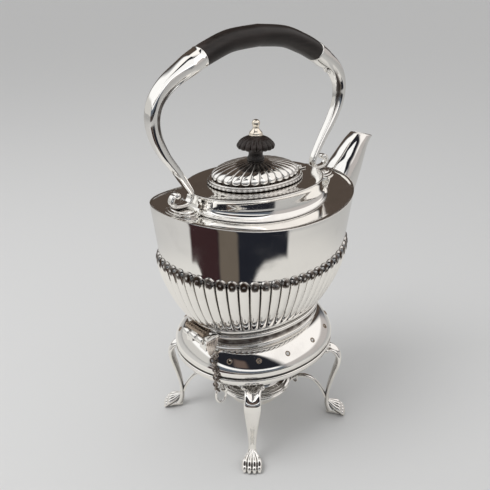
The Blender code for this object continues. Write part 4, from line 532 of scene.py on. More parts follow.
def kettle_body():
    """Bowl with its plain band, its flutes as rounded lobes with domed tops, and its rim."""
    angles = even_angles(BAND, FLUTES * FLUTE_COLUMNS)
    top_half, foot_half = half_flute(BAND, FLUTES), half_flute(BOWL_FOOT, FLUTES)
    rows = flute_rows()
    rings, tarnish_and_shade = [], []
    for place, share, out_way, up_way in reversed(rows):
        size, z = bowl_size(share)
        fullness = FLUTE_PROUD * table(FLUTE_FULLNESS_SHARES, share)
        from_top = max(0, 1 - place / (top_half * FLUTE_TOP_LENGTH))
        from_foot = max(0, 1 - (rows[-1][0] - place) / (foot_half * FLUTE_TOP_LENGTH))
        ring = []
        for angle, u in zip(angles, off_middle(FLUTES, FLUTE_COLUMNS)):
            edge = u ** FLUTE_ROUND + max(from_top, from_foot) ** 2
            proud = fullness * sqrt(max(0, 1 - edge))
            x, y = oval_point(size, angle, proud * out_way)
            ring.append((AXIS_X + x, y, z + proud * up_way + (1 - share) * end_rise(x)))
            valley = smooth_step(0.66, 1.0, edge) * (1 - 0.85 * smooth_step(1.0, 1.35, edge))
            valley *= 1 - 0.8 * smooth_step(0, 0.5, from_top)
            # The ring near each flute's top, dark with a clean middle, is partly tarnish and partly a
            # painted dark reflection. The darkened rounded feet of the flutes are likewise partly tarnish
            # and partly a painted dark reflection.
            from_spot = hypot(u * top_half, place - top_half * 0.74) / top_half
            spot = smooth_step(0.78, 0.66, from_spot) * smooth_step(0.12, 0.24, from_spot)
            tarnish_and_shade.append(max(0.95 * valley, 0.75 * smooth_step(0.3, 1, from_foot), spot))
        rings.append(ring)
    for share in (0.97, 0.93, 0.8, 0.6, 0.4, 0.2, 0.08):
        z = SHOULDER_Z + (FLUTE_TOP_Z - SHOULDER_Z) * share
        rings.append(oval_ring(BAND, z, angles, 1, BAND_INSET * (1 - share)))
    rim = mm(0, SHOULDER_Z, (0, -0.7), (0, -0.4), (-0.12, -0.12), (-0.4, 0), (-0.9, 0))
    for out, z in rim + mm(-RIM_THICKNESS, SHOULDER_Z, (0, -0.12), (0, -4)):
        rings.append(oval_ring(SHOULDER, z, angles, 1, out))
    for share in (0, 0.3, 0.6, 0.85):
        size, z = bowl_size(share)
        rings.append(oval_ring(size, z + SHEET / 2, angles, 1 - share, -SHEET))
    rings.append(oval_ring(BOWL_FOOT, FLUTE_FOOT_Z + SHEET, angles, out=-SHEET))
    make("bowl", loft(rings, tarnish_and_shade=tarnish_and_shade), "kettle", silver, "kettle_body")


def shoulder_plate():
    """Flat oval plate inside the rim, a hair below it."""
    angles = even_angles(BAND, 224)
    rows = [(0, 0.0006)] + [(share, 0.0003) for share in (0.012, 0.2, 0.4, 0.6, 0.8, 1)]
    rows += [(share, SHEET) for share in (1, 0.5, 0)]
    outer = grown(SHOULDER, -RIM_THICKNESS)
    rings = [oval_ring(between(outer, DECK, share), SHOULDER_Z - drop, angles, 1) for share, drop in rows]
    make("shoulder_plate", loft(rings, True), "kettle", silver, "shoulder")


def foot_moulding():
    """Two rounded bands with a dark line between them, under the bowl."""
    profile = mm(0, FOOT_TOP_Z, (-6.2, 0), (-3, 0), (-1.8, -0.3), (-1.2, -0.9), (-1.1, -1.5), (-1.4, -3),
                 (-1.8, -3.6), (-2.7, -3.9))
    profile += mm(0, FOOT_Z, (-2.7, 4), (-1.2, 3.7), (-0.3, 3), (0, 2.2), (-0.3, 0.9), (-0.9, 0.2),
                  (-1.6, 0), (-6.2, 0))
    make("foot_moulding", oval_moulding(FOOT, profile), "kettle", silver, "foot_ring")


# Collar and lid

COLLAR_SHARES = ((1.0, 0.0), (1.03, 0.02), (1.0, 0.045), (0.93, 0.055), (0.89, 0.058), (0.86, 0.07),
                 (0.72, 0.088), (0.55, 0.12), (0.38, 0.165), (0.24, 0.225), (0.13, 0.30), (0.05, 0.39),
                 (0.01, 0.48), (0, 0.6), (0, 0.75), (0, 0.9), (0.03, 0.915), (0.13, 0.925), (0.20, 0.945),
                 (0.21, 0.965), (0.17, 0.985), (0.07, 1.0))
MOUTH = grown(LID, -0.0050)
# From the deck's edge to the mouth: share of the way, then millimetres down
DECK_ROWS = ((0, 0.05), (0.03, 0.3), (0.4, 0.3), (0.75, 0.15), (1, 0.15), (1, 4.5), (0.96, 4.5), (0.96, 1.2),
             (0, 1.2))


def neck():
    """Raised oval collar: a moulded flared base, the wall, a bead round the deck, and the mouth."""
    angles = even_angles(DECK, 224)

    def wall(flare, height, in_by=0):
        foot = oval_ring(DECK, SHOULDER_Z, angles, 1, COVE * flare - in_by)
        return [(x, y, z + (DECK_Z - z) * height) for x, y, z in foot]

    rings = [wall(*row) for row in COLLAR_SHARES]
    for share, down in DECK_ROWS:
        rings.append(oval_ring(between(grown(DECK, -0.0006), MOUTH, share), DECK_Z - down / 1000, angles))
    rings += [wall(0, 0.5, SHEET), wall(0, 0, SHEET)]
    make("neck", loft(rings, True), "kettle", silver, "collar")


RIM_BEADS = 56
BEAD_COLUMNS = 6
BEAD_DEPTH = 0.00022


def lid_edge():
    """Two-stepped rim of the lid with a worn beaded lower edge, and the skirt under it."""
    base, top = DECK_Z + 0.0003, LID_TOP_Z
    angles = even_angles(LID, RIM_BEADS * BEAD_COLUMNS)
    beaded = arc(-0.0010, base + 0.0010, 0.0010, -80, 85, 9)
    profile = [(-0.0012, base)] + beaded + [(-0.0014, base + 0.0021)]
    profile += arc(-0.0024, top - 0.0009, 0.0009, -40, 90, 8)
    profile += [(-0.0072, top), (-0.0072, LID_Z), (-0.0060, LID_Z), (-0.0060, base)]
    rings, tarnish_and_shade = [], []
    for row, (out, z) in enumerate(profile):
        ring = []
        for i, angle in enumerate(angles):
            hollow = 1 - cos(tau * i / BEAD_COLUMNS) if 1 <= row <= len(beaded) else 0
            x, y = oval_point(LID, angle, out - BEAD_DEPTH * hollow * (0.7 + 0.3 * sin(i * 0.37)))
            ring.append((AXIS_X + x, y, z))
            tarnish_and_shade.append(0.275 * hollow)
        rings.append(ring)
    make("lid_edge", loft(rings, True, tarnish_and_shade), "lid", silver, "lid_rim")


LID_FLUTES = 28
LID_FLUTE_DEPTH = 0.0016
LID_FLUTE_ROUND = 2.2
CROWN = (0.0085, 0.0085)
DOME_SHARES = ((1, 0), (1.0, 0.10), (0.985, 0.24), (0.94, 0.38), (0.87, 0.51), (0.78, 0.625), (0.66, 0.73),
               (0.53, 0.81), (0.38, 0.885), (0.22, 0.945), (0.08, 0.985))


def lid_cover():
    """Domed lid with rounded lobes that run up to the crown and end in dark hollows at the rim."""
    size, low, top = oval_of("lid_dome")
    height = top - low
    angles = even_angles(size, LID_FLUTES * FLUTE_COLUMNS)
    shape = smooth_path(DOME_SHARES, 4)
    run = lengths([Vector((spot.x * (size[1] - CROWN[1]), spot.y * height)) for spot in shape])
    rings, tarnish_and_shade = [], []
    for spot, place in zip(shape, run):
        end = max(0, 1 - place / (half_flute(size, LID_FLUTES) * 0.85))
        depth = LID_FLUTE_DEPTH * table(((0, 1), (0.4, 1), (0.9, 0.55), (1, 0.3)), spot.y)
        steep = 1 - 0.75 * smooth_step(0.3, 0.9, spot.y)
        ring = []
        for angle, u in zip(angles, off_middle(LID_FLUTES, FLUTE_COLUMNS)):
            edge = u ** LID_FLUTE_ROUND + end * end
            drop = depth * (1 - sqrt(max(0, 1 - edge)))
            x, y = oval_point(between(CROWN, size, spot.x), angle, -drop * steep)
            ring.append((AXIS_X + x, y, low + height * spot.y - drop * (1 - steep)))
            tarnish_and_shade.append(0.9 * smooth_step(0.6, 1, edge))
        rings.append(ring)
    turns = [atan2(y, x - AXIS_X) for x, y, _ in rings[-1]]
    for radius, z in ((0.0074, top - 0.0001), (0.0060, top), (0.0021, top), (0.0021, top - 2 * SHEET)):
        rings.append([(AXIS_X + radius * cos(a), radius * sin(a), z) for a in turns])
    for share, up in ((0.3, 0.78), (0.78, 0.42), (0.95, 0)):
        z = low + (height - 2 * SHEET) * up
        rings.append(oval_ring(between(CROWN, size, share), z, angles, out=-SHEET))
    make("lid_cover", loft(rings, True, tarnish_and_shade), "lid", silver, "lid_dome")


KNOB_LOBES = 18
KNOB_COLUMNS = 10
KNOB_BORE = 0.0019
# Radius share, height share, and how far the lobes show
KNOB_SHARES = ((0.45, 0.0, 0), (0.465, 0.03, 0), (0.46, 0.08, 0), (0.42, 0.12, 0), (0.385, 0.18, 0),
               (0.37, 0.25, 0), (0.385, 0.33, 0), (0.43, 0.39, 0), (0.46, 0.42, 0.1), (0.52, 0.45, 0.3),
               (0.68, 0.47, 0.8), (0.84, 0.48, 1), (0.94, 0.50, 1), (0.99, 0.55, 1), (1.0, 0.61, 1),
               (0.97, 0.68, 1), (0.90, 0.76, 0.95), (0.79, 0.84, 0.85), (0.66, 0.91, 0.7), (0.52, 0.96, 0.5),
               (0.42, 0.985, 0.3), (0.385, 1.0, 0))


def lid_knob():
    """Ebony mushroom with drooping lobes over a waisted stem."""
    (knob_r, _), low, high = oval_of("knob")
    turns = around(KNOB_LOBES * KNOB_COLUMNS)
    rings = []
    for share, up, lobed in KNOB_SHARES:
        ring = []
        for a, u in zip(turns, off_middle(KNOB_LOBES, KNOB_COLUMNS)):
            notch = lobed * (1 - sqrt(max(0, 1 - u ** LID_FLUTE_ROUND)))
            r = knob_r * share * (1 - 0.13 * notch)
            lift = 0.0016 * notch * smooth_step(0.9, 0.45, up)
            ring.append((AXIS_X + r * cos(a), r * sin(a), low + (high - low) * up + lift))
        rings.append(ring)
    rings += [hoop(AXIS + UP * z, ALONG * KNOB_BORE, ACROSS * KNOB_BORE, len(turns)) for z in (high, low)]
    make("lid_knob", loft(rings, True), "lid", carved_ebony, "knob", slot="ebony")


FINIAL_HEIGHT = 0.0130
STUD_R = 0.0016
FINIAL_SHARES = ((0.96, 0), (1, 0.03), (0.99, 0.07), (0.93, 0.1), (0.94, 0.14), (0.9, 0.2), (0.76, 0.27),
                 (0.6, 0.34), (0.48, 0.43), (0.43, 0.51), (0.47, 0.58), (0.55, 0.66), (0.58, 0.75),
                 (0.54, 0.85), (0.42, 0.93), (0.23, 0.98), (0, 1))


def lid_finial():
    """Turned silver finial with its stud."""
    (_, radius), low, high = oval_of("finial")
    base = high - FINIAL_HEIGHT
    profile = [(0, low), (STUD_R, low), (STUD_R, base)]
    profile += [(radius * share, base + FINIAL_HEIGHT * up) for share, up in FINIAL_SHARES]
    make("lid_finial", turned(profile, 40), "lid", warm_silver, "finial")


def lid_hinge():
    """The lid's three small knuckles, the plate on the deck and the pin's ends."""
    low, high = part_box("lid_hinge_leaf")
    radius, edge = 0.0018, 0.0003
    x, z = high.x - radius, high.z - radius
    tab = rounded_block((low.x - 0.0008, low.y, low.z + 0.0002), (x, high.y, low.z + 0.0017), edge)
    make("lid_leaf", both(barrel(x, z, radius, low.y, high.y), tab), "lid", cast_silver, "lid_hinge_leaf")
    seat, seat_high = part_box("lid_hinge_seat")
    plate = rounded_block((x + 0.0008, seat.y, seat.z), (seat_high.x, seat_high.y, seat.z + 0.0007), edge)
    sleeves = [barrel(x, z, radius, side * (high.y + edge), side * seat_high.y) for side in (-1, 1)]
    make("lid_seat", both(plate, *sleeves), "kettle", cast_silver, "lid_hinge_seat")
    low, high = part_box("lid_hinge_pin")
    make("lid_pin", barrel(x, z, 0.0008, low.y, high.y, edge), "kettle", cast_silver, "lid_hinge_pin")


# Spout

SPOUT_HALF_WIDTH = 0.0165
SPOUT_WALL = 0.0011
# Outer edge and inner edge as shares of the reach and the rise, then the half width's share
SPOUT_STATIONS = (
    (-0.14, 0.000, -0.390, 0.357, 0.80),
    (0.053, 0.103, -0.280, 0.479, 0.94),
    (0.246, 0.230, -0.175, 0.573, 1.00),
    (0.412, 0.357, -0.070, 0.648, 1.00),
    (0.535, 0.475, 0.018, 0.719, 0.97),
    (0.640, 0.592, 0.132, 0.789, 0.91),
    (0.719, 0.695, 0.254, 0.846, 0.84),
    (0.793, 0.794, 0.368, 0.904, 0.75),
    (0.877, 0.888, 0.488, 0.959, 0.66),
    (1.000, 0.947, 0.596, 1.000, 0.58),
)


def spout():
    """Hollow spout with a thin lip; its root runs into the bowl."""
    low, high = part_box("spout")
    start = Vector((AXIS_X + SHOULDER[0], 0, low.z))
    reach, rise = ALONG * (high.x - start.x), UP * (high.z - low.z)
    outside, inside = [], []
    for thinner, rings in ((0, outside), (SPOUT_WALL, inside)):
        for ax, az, bx, bz, width in smooth_rows(SPOUT_STATIONS, 5):
            a, b = start + reach * ax + rise * az, start + reach * bx + rise * bz
            half = (a - b) / 2
            half *= 1 - thinner / half.length
            rings.append(hoop((a + b) / 2, half, ACROSS * (SPOUT_HALF_WIDTH * width - thinner), 56))
    lip = [(a + b) / 2 + Vector((0.0002, 0, 0.0003)) for a, b in zip(outside[-1], inside[-1])]
    shape = loft([*outside, lip, *reversed(inside)], True)
    make("spout_horn", shape, "kettle", silver, "spout", sharp=60)


# Handle

HANDLE_OFFSET = 0.0012               # the arch stands this far towards the spout
HANDLE_SPAN = SHOULDER[0] * 1.054
HANDLE_BASE_Z = 0.2220
GRIP_DEPTH, GRIP_WIDTH = 0.0160, 0.0178
HANDLE_TOP_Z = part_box("handle_grip")[1].z - GRIP_DEPTH / 2
SCROLL_SCALE = 0.1248                # height that the scrolls' shares are of
SCROLL_TOP_SHARE = 0.19
GRIP_REACHES = {-1: HANDLE_SPAN - 0.0430, 1: HANDLE_SPAN - 0.0310}
SOCKET_RUN = 0.0114                  # length of the socket round the grip's tenon
SOCKET_LIP = ((0, -0.0040), (0, -0.0002), (0.0002, 0.0003), (0.0006, 0.0005), (0.0011, 0.0003), (0.0016, 0))
ARCH_SHARES = ((0, 1), (0.28, 0.982), (0.48, 0.935), (0.62, 0.89), (0.76, 0.83), (0.88, 0.765),
               (0.965, 0.69), (1, 0.6), (0.985, 0.5), (0.92, 0.39), (0.825, 0.285), (0.745, 0.19),
               (0.7, 0.128), (0.705, 0.087), (0.747, 0.062), (0.806, 0.058), (0.866, 0.068),
               (0.896, 0.098), (0.876, 0.13), (0.842, 0.132))
UPRIGHT_DEPTHS = smooth_rows(((0, 0.0160), (0.1, 0.0140), (0.28, 0.0124), (0.55, 0.0082), (0.7, 0.0064),
                              (0.83, 0.0042), (1, 0.0034)))
UPRIGHT_WIDTHS = smooth_rows(((0, 0.0178), (0.1, 0.0138), (0.28, 0.0116), (0.55, 0.0080), (0.83, 0.0066),
                              (1, 0.0066)))
# How deep and how wide the groove down each side of the upright is, at shares of its length
GROOVE_DEPTHS = smooth_rows(((0, 0), (0.05, 0.06), (0.14, 0.32), (0.24, 0.50), (0.36, 0.48), (0.46, 0.26),
                             (0.56, 0.16), (0.7, 0.24), (0.84, 0.30), (1, 0.16)))
GROOVE_WIDTHS = smooth_rows(((0, 0.07), (0.14, 0.10), (0.26, 0.17), (0.36, 0.16), (0.48, 0.07), (0.6, 0.06),
                             (1, 0.12)))
GROOVE_PLACE = -0.17                 # towards the inside of the arch
INNER_STRIP_SHARE = 0.86             # how wide the inner strip is beside the outer strap
LEAF_PLACE, LEAF_SIZE = 0.0200, 0.0040
# Lobes of the leaf: place across, place along, and scale, in leaf sizes
LEAF_LOBES = ((0, -0.7, 1.1), (-0.55, 0.1, 0.85), (0.55, 0.1, 0.85), (0, 0.8, 0.8), (-0.35, -1.2, 0.6))


def arch_height(share):
    low = HANDLE_BASE_Z + SCROLL_SCALE * min(share, SCROLL_TOP_SHARE)
    return low + (HANDLE_TOP_Z - low) * max(0, share - SCROLL_TOP_SHARE) / (1 - SCROLL_TOP_SHARE)


def half_arch(side):
    """The handle's centre line from its top to the end of its scroll."""
    middle = AXIS_X + HANDLE_OFFSET
    return smooth_path([(middle + side * HANDLE_SPAN * x, 0, arch_height(z)) for x, z in ARCH_SHARES], 8)


def cut_line(line, side):
    """Where the line first passes the grip's end: next index, place and direction."""
    for i, (a, b) in enumerate(zip(line, line[1:])):
        here, there = side * (a.x - AXIS_X), side * (b.x - AXIS_X)
        if there >= GRIP_REACHES[side]:
            return i + 1, a.lerp(b, (GRIP_REACHES[side] - here) / (there - here)), (b - a).normalized()


def upright_outline(share):
    """Shares of the depth and width: an outer strap, a groove and a narrower inner strip. Then the tarnish
    in the groove.
    """
    deep, wide = table(GROOVE_DEPTHS, share), table(GROOVE_WIDTHS, share)
    narrower = (1 - INNER_STRIP_SHARE) * smooth_step(0.05, 0.25, share)
    square = smooth_step(0, 0.14, share)
    outline, tarnish_and_shade = [], []
    for a in around(72):
        u, v = bent(cos(a), 1 - 0.42 * square) / 2, bent(sin(a), 1 - 0.48 * square) / 2
        u = 0.5 - (0.5 - u) * (1 - 0.16 * square)
        bite = deep * exp(-abs((u - GROOVE_PLACE) / wide) ** 2.6)
        outline.append((u, v * (1 - bite) * (1 - narrower * smooth_step(0.05, -0.35, u))))
        tarnish_and_shade.append(0.9 * smooth_step(0.16, 0.40, bite))
    return outline, tarnish_and_shade


def section(centre, way, depth, width, outline):
    """The outline set square to a direction in the upright plane along the kettle."""
    out = Vector((-way.z, 0, way.x)) * depth
    return [centre + out * u + ACROSS * (v * width) for u, v in outline]


def upright(side):
    """Silver upright: rolled lip and socket at the grip, grooved bow, and a scroll that ends in a button."""
    line = half_arch(side)
    index, spot, along = cut_line(line, side)
    path = [spot] + [p for p in line[index:] if (p - spot).length > 0.0006]
    run = lengths(path)
    socket = SOCKET_RUN / run[-1]
    stations = [(spot + along * down, along, GRIP_DEPTH + proud, GRIP_WIDTH + proud, 0)
                for down, proud in SOCKET_LIP]
    for centre, way, place in zip(path, ways(path), run):
        if place >= 0.0024:
            taper = max(0, (place / run[-1] - socket) / (1 - socket))
            stations.append((centre, way, table(UPRIGHT_DEPTHS, taper), table(UPRIGHT_WIDTHS, taper), taper))
    rings, tarnish_and_shade = [], []
    for centre, way, depth, width, taper in stations:
        outline, some_tarnish_and_shade = upright_outline(taper)
        rings.append(section(centre, way * side, depth, width, outline))
        tarnish_and_shade += some_tarnish_and_shade
    profile = mm(0, 0, (0, -4), (1.2, -3.9), (2.3, -3.1), (2.6, 0), (2.3, 3.1), (1.2, 3.9), (0, 4))
    button = turned(profile, 28, (path[-1].x, path[-1].z), level=True)
    return [loft(rings, tarnish_and_shade=tarnish_and_shade), button], path, run


def small_scroll(centre):
    """A little volute of flat strip, rolling inwards, in the upright plane along the kettle."""
    rings = []
    for i in range(45):
        share = i / 44
        a = 0.6 + 1.2 * tau * share
        out = Vector((-cos(a), 0, sin(a)))
        middle = centre + Vector((-cos(a), 0, sin(a))) * (0.0034 * (1 - 0.72 * share))
        rings.append(hoop(middle, out * (0.00085 * (1 - 0.35 * share)), ACROSS * 0.0015, 12))
    return loft(rings)


def leaf(path, run):
    """A small cast leaf lying along the inner side of the front upright: lobes on a rib."""
    k = next(i for i, place in enumerate(run) if place >= LEAF_PLACE)
    along = (path[k + 1] - path[k - 1]).normalized()
    inward = Vector((along.z, 0, -along.x))
    middle = path[k] + inward * (table(UPRIGHT_DEPTHS, run[k] / run[-1]) / 2) - ACROSS * (LEAF_SIZE * 0.6)
    parts = []
    for across, forward, scale in LEAF_LOBES:
        spot = middle + (along * forward + ACROSS * across) * LEAF_SIZE
        size = LEAF_SIZE * scale
        parts.append(blob(spot, along * (-0.62 * size), ACROSS * (0.42 * size), inward * (0.336 * size), 12))
    return parts


def handle():
    """Both uprights, the ebony grip between them and the two rivets."""
    for end_name, side in ENDS:
        parts, path, run = upright(side)
        if side == 1:
            parts += leaf(path, run)
        make(f"upright_{end_name}", both(*parts), "kettle", silver, f"handle_{end_name}", sharp=55)
    rear, front = half_arch(-1), half_arch(1)
    rear_index, rear_end, rear_along = cut_line(rear, -1)
    front_index, front_end, front_along = cut_line(front, 1)
    path = [rear_end] + rear[1:rear_index - 1][::-1] + front[:front_index - 1] + [front_end]
    run = lengths(path)
    outline = [(cos(a) / 2, sin(a) / 2) for a in around(48)]
    rings = []
    for centre, way, place in zip(path, ways(path), run):
        share = place / run[-1]
        at_ends = smooth_step(0.03, 0, share) + smooth_step(0.97, 1, share)
        fuller = 1 + 0.022 * sin(pi * share) - 0.05 * at_ends
        rings.append(section(centre, way, GRIP_DEPTH * fuller, GRIP_WIDTH * fuller, outline))
    rings[0] = [spot + rear_along * 0.0004 for spot in rings[0]]
    rings[-1] = [spot + front_along * 0.0004 for spot in rings[-1]]
    make("grip", loft(rings), "kettle", ebony, "handle_grip", slot="ebony")
    for end_name, _ in ENDS:
        low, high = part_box(f"rivet_{end_name}")
        x, z = (low.x + high.x) / 2, (low.z + high.z) / 2
        head = spindle(x, z, low.y, high.y, 20, (0, 0), (0.0007, 0.0001), (0.0010, 0.0004))
        make(f"rivet_{end_name}_head", head, "kettle", leaf_finish, f"rivet_{end_name}")


PLINTH_HALF_LENGTH = 0.0120
PLINTH_STEP = 0.0022
PLINTH_SHARES = ((0, 0), (0.02, 0.10), (0, 0.26), (0.28, 0.31), (0.62, 0.34), (0.92, 0.42), (0.98, 0.52),
                 (0.96, 0.62), (1.2, 0.68), (1.6, 0.70), (1.9, 0.78), (2.0, 0.88), (2.1, 0.97), (2.5, 1.0))


def plinths():
    """Stepped oval base with rounded steps under each scroll."""
    for end_name, side in ENDS:
        low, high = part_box(f"plinth_{end_name}")
        size = (PLINTH_HALF_LENGTH, high.y)
        middle = (high.x if side == 1 else low.x) - side * PLINTH_HALF_LENGTH - AXIS_X
        angles = even_angles(size, 88)
        rings = []
        for steps_in, up in PLINTH_SHARES:
            ring = oval_ring(size, SHOULDER_Z - 0.0002, angles, 1, -PLINTH_STEP * steps_in, middle)
            rings.append([(x, y, z + (high.z + 0.0002 - z) * up) for x, y, z in ring])
        shape = loft(rings)
        if side == 1:
            shape = both(shape, small_scroll(Vector((low.x + 0.0015, -0.0118, high.z - 0.0012))))
        make(f"plinth_{end_name}_steps", shape, "kettle", cast_silver, f"plinth_{end_name}")


# Hinges between kettle and stand

HINGE_REACH = FOOT[0] + 0.0036
HINGE_Z = 0.1124
HINGE_R = 0.0030
HINGE_HALF_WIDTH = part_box("knuckles_rear")[1].y
KNUCKLE_HALF = 0.0048                # half the length of the kettle's knuckle
HINGE_PLAY = 0.0003
LEAF_REACH = 0.0118                  # from the hinge's axis to the inner edge of the kettle's leaf
CHEEKS_FROM, CHEEKS_TO = 0.0088, 0.0015      # from the hinge's axis to both ends of the cheeks
CHEEK_BASE_TO = 0.0036               # and to the end of the block under them
STUD_ROWS, STUD_COLUMNS = 4, 9
PIN_NECK = 0.0035
PIN_HEAD_R = 0.0034
PIN_HEAD_THICKNESS = 0.0038
PIN_R, PIN_TAIL = 0.0013, 0.0008
BAR_RISE, BAR_SHIFT = 0.0068, 0.0023
BAR_HALF = (0.0058, 0.0021, 0.0014)          # half the bar's length, thickness and height
STALK_HALF_WIDTH, STALK_THICKNESS = 0.0016, 0.0034


def hinges():
    """The kettle's knuckle and leaf, and the stand's two knuckles with their cheeks, at each end."""
    wide = HINGE_HALF_WIDTH
    for end_name, side in ENDS:
        x = AXIS_X + side * HINGE_REACH
        low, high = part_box(f"lug_{end_name}")
        leaf_z = HINGE_Z + HINGE_R + HINGE_PLAY
        inner = x - side * LEAF_REACH
        web = rounded_block((inner, -KNUCKLE_HALF + 0.0001, HINGE_Z + 0.0008),
                            (x, KNUCKLE_HALF - 0.0001, leaf_z + 0.001), 0.0004)
        knuckle = barrel(x, HINGE_Z, HINGE_R, -KNUCKLE_HALF, KNUCKLE_HALF)
        make(f"kettle_knuckle_{end_name}", both(knuckle, web), "kettle", cast_silver)
        parts = [rounded_block((inner, low.y, leaf_z), (x, high.y, high.z), 0.0005)]
        for i in range(STUD_ROWS):
            for j in range(STUD_COLUMNS):
                px = inner + (x - inner) * (i + 0.6) / STUD_ROWS
                py = low.y + (high.y - low.y) * (j + 0.5 + 0.25 * (i % 2)) / (STUD_COLUMNS + 0.3)
                stud = mm(0, high.z, (1.2, -0.4), (1.1, 0.1), (0.7, 0.6), (0, 0.75))
                parts.append(turned(stud, 10, (px, py)))
        make(f"kettle_leaf_{end_name}", both(*parts), "kettle", leaf_finish, f"lug_{end_name}",
             slot="aged_silver")

        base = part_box(f"knuckles_{end_name}")[0].z
        run_in, edge, under = (x - side * inwards for inwards in (CHEEKS_FROM, CHEEKS_TO, CHEEK_BASE_TO))
        cheek = KNUCKLE_HALF + HINGE_PLAY
        parts = [barrel(x, HINGE_Z, HINGE_R, hand * cheek, hand * wide) for hand in (1, -1)]
        for hand in (-1, 1):
            start, end = (run_in, hand * cheek, base + 0.001), (edge, hand * wide, HINGE_Z - 0.0016)
            parts.append(rounded_block(start, end, 0.0004))
        start = (run_in - side * HINGE_PLAY, -wide - HINGE_PLAY, base + 0.0007)
        end = (under + side * HINGE_PLAY, wide + HINGE_PLAY, HINGE_Z - HINGE_R - 0.0008)
        parts.append(rounded_block(start, end, 0.0004))
        make(f"stand_knuckles_{end_name}", both(*parts), "stand", cast_silver, f"knuckles_{end_name}")


def pins():
    """Each hinge pin with its round head and the bar across it, upright at the rear, hanging in front."""
    for end_name, side in ENDS:
        x, up = AXIS_X + side * HINGE_REACH, -side
        near = HINGE_HALF_WIDTH + PIN_NECK
        far = near + PIN_HEAD_THICKNESS
        profile = [(0, -HINGE_HALF_WIDTH - PIN_TAIL)]
        profile += mm(PIN_R, -HINGE_HALF_WIDTH - PIN_TAIL, (-0.4, 0.1), (0, 0.5)) + [(PIN_R, near)]
        profile += mm(PIN_HEAD_R, near, (-1, 0), (-0.2, 0.4), (0, 1.2))
        profile += mm(PIN_HEAD_R, far, (0, -1.2), (-0.5, -0.3), (-1.8, 0)) + [(0, far)]
        head = turned([(r, side * place) for r, place in profile], 32, (x, HINGE_Z), level=True)
        bar_x, bar_z = x - side * up * BAR_SHIFT, HINGE_Z + up * BAR_RISE
        stalk = rounded_block((x - STALK_HALF_WIDTH, side * (far - STALK_THICKNESS), HINGE_Z),
                              (x + STALK_HALF_WIDTH, side * far, bar_z), 0.0005)
        bar, half = Vector((bar_x, side * far, bar_z)), Vector(BAR_HALF)
        bar = rounded_block(bar - half, bar + half, 0.0004)
        make(f"pin_{end_name}", both(head, stalk, bar), f"{end_name}_pin", cast_silver, f"{end_name}_pin")


# Stand

APRON_BEND = 1.45
APRON_NECK = (SHOULDER[0] * 0.696, SHOULDER[1] * 0.663)
APRON_WIDEST_Z = 0.0900
APRON_COLUMNS, APRON_ROWS = 176, 26
VENT_Z = 0.0990
VENT_R = 0.0019
VENTS = (*range(1, 7), *range(9, 15))   # of 16 places round the dome, those that have a vent


def apron_size(share):
    """Size and height of the dome, from its neck at share 0 to its widest at 1."""
    drop = 1 - max(0, 1 - share ** APRON_BEND) ** (1 / APRON_BEND)
    return between(APRON_NECK, APRON, share), APRON_TOP_Z + (APRON_WIDEST_Z - APRON_TOP_Z) * drop


def vent_places():
    """Middle of each vent on the dome, and the direction straight out of it."""
    low, high = 0, 1
    for _ in range(30):
        share = (low + high) / 2
        low, high = (share, high) if apron_size(share)[1] > VENT_Z else (low, share)
    size, z = apron_size(share)
    lower, lower_z = apron_size(share + 0.02)
    for k in VENTS:
        angle = tau * (k + 0.5) / 16
        (x, y), (x1, y1) = oval_point(size, angle), oval_point(lower, angle)
        flat = Vector((x / size[0] ** 2, y / size[1] ** 2, 0))
        out = Vector((-flat.y, flat.x, 0)).cross(Vector((x1 - x, y1 - y, lower_z - z))).normalized()
        yield Vector((AXIS_X + x, y, z)), out if out.dot(flat) > 0 else -out


def apron_dome():
    """Oval dome with its round vents cut through and a fine raised ring round each."""
    angles = even_angles(APRON, APRON_COLUMNS)
    arch = [apron_size(sin(pi / 2 * i / APRON_ROWS)) for i in range(APRON_ROWS + 1)]
    rings = [oval_ring(size, z, angles) for size, z in arch]
    for out, z in mm(0, 0, (-0.05, 88.6), (-0.2, 87.3), (-0.5, 86.2), (-0.9, 85.3), (-1.4, 84.6)):
        rings.append(oval_ring(APRON, z, angles, out=out))
    rings.append(oval_ring(APRON, APRON_Z, angles, out=-0.0021))
    clean = [0] * (len(rings) * APRON_COLUMNS)
    inside = [oval_ring(APRON, APRON_Z, angles, out=-0.0033)]
    inside += [oval_ring(size, z - SHEET, angles, out=-SHEET) for size, z in arch[::-3]]
    # The dome's inside is painted fully dark, a painted shade that keeps the vents dark.
    shape = loft(rings + inside, True, clean + [1] * (len(inside) * APRON_COLUMNS))
    dome = make("dome", shape, "stand", silver, "apron")
    cutters, trims = [], []
    for spot, out in vent_places():
        side = out.cross(UP).normalized()
        up = side.cross(out)
        ends = [hoop(spot + out * way, side * VENT_R, up * VENT_R, 28) for way in (-0.005, 0.005)]
        cutters.append(loft(ends))
        trims.append(ring_of_wire(spot - out * 0.0001, side, up, VENT_R, VENT_R, 0.0005, 32, 8))
    cutter = add_object("vent_cutter", solid_mesh("vent_cutter", both(*cutters)))
    step = dome.modifiers.new("vents", "BOOLEAN")
    step.operation, step.solver, step.object = "DIFFERENCE", "EXACT", cutter
    bpy.context.view_layer.update()
    cut = bpy.data.meshes.new_from_object(dome.evaluated_get(bpy.context.evaluated_depsgraph_get()))
    dome.modifiers.clear()
    dome.data = cut
    cut.set_sharp_from_angle(angle=radians(40))
    bpy.data.objects.remove(cutter, do_unlink=True)
    make("vent_rings", both(*trims), "stand", leaf_finish)


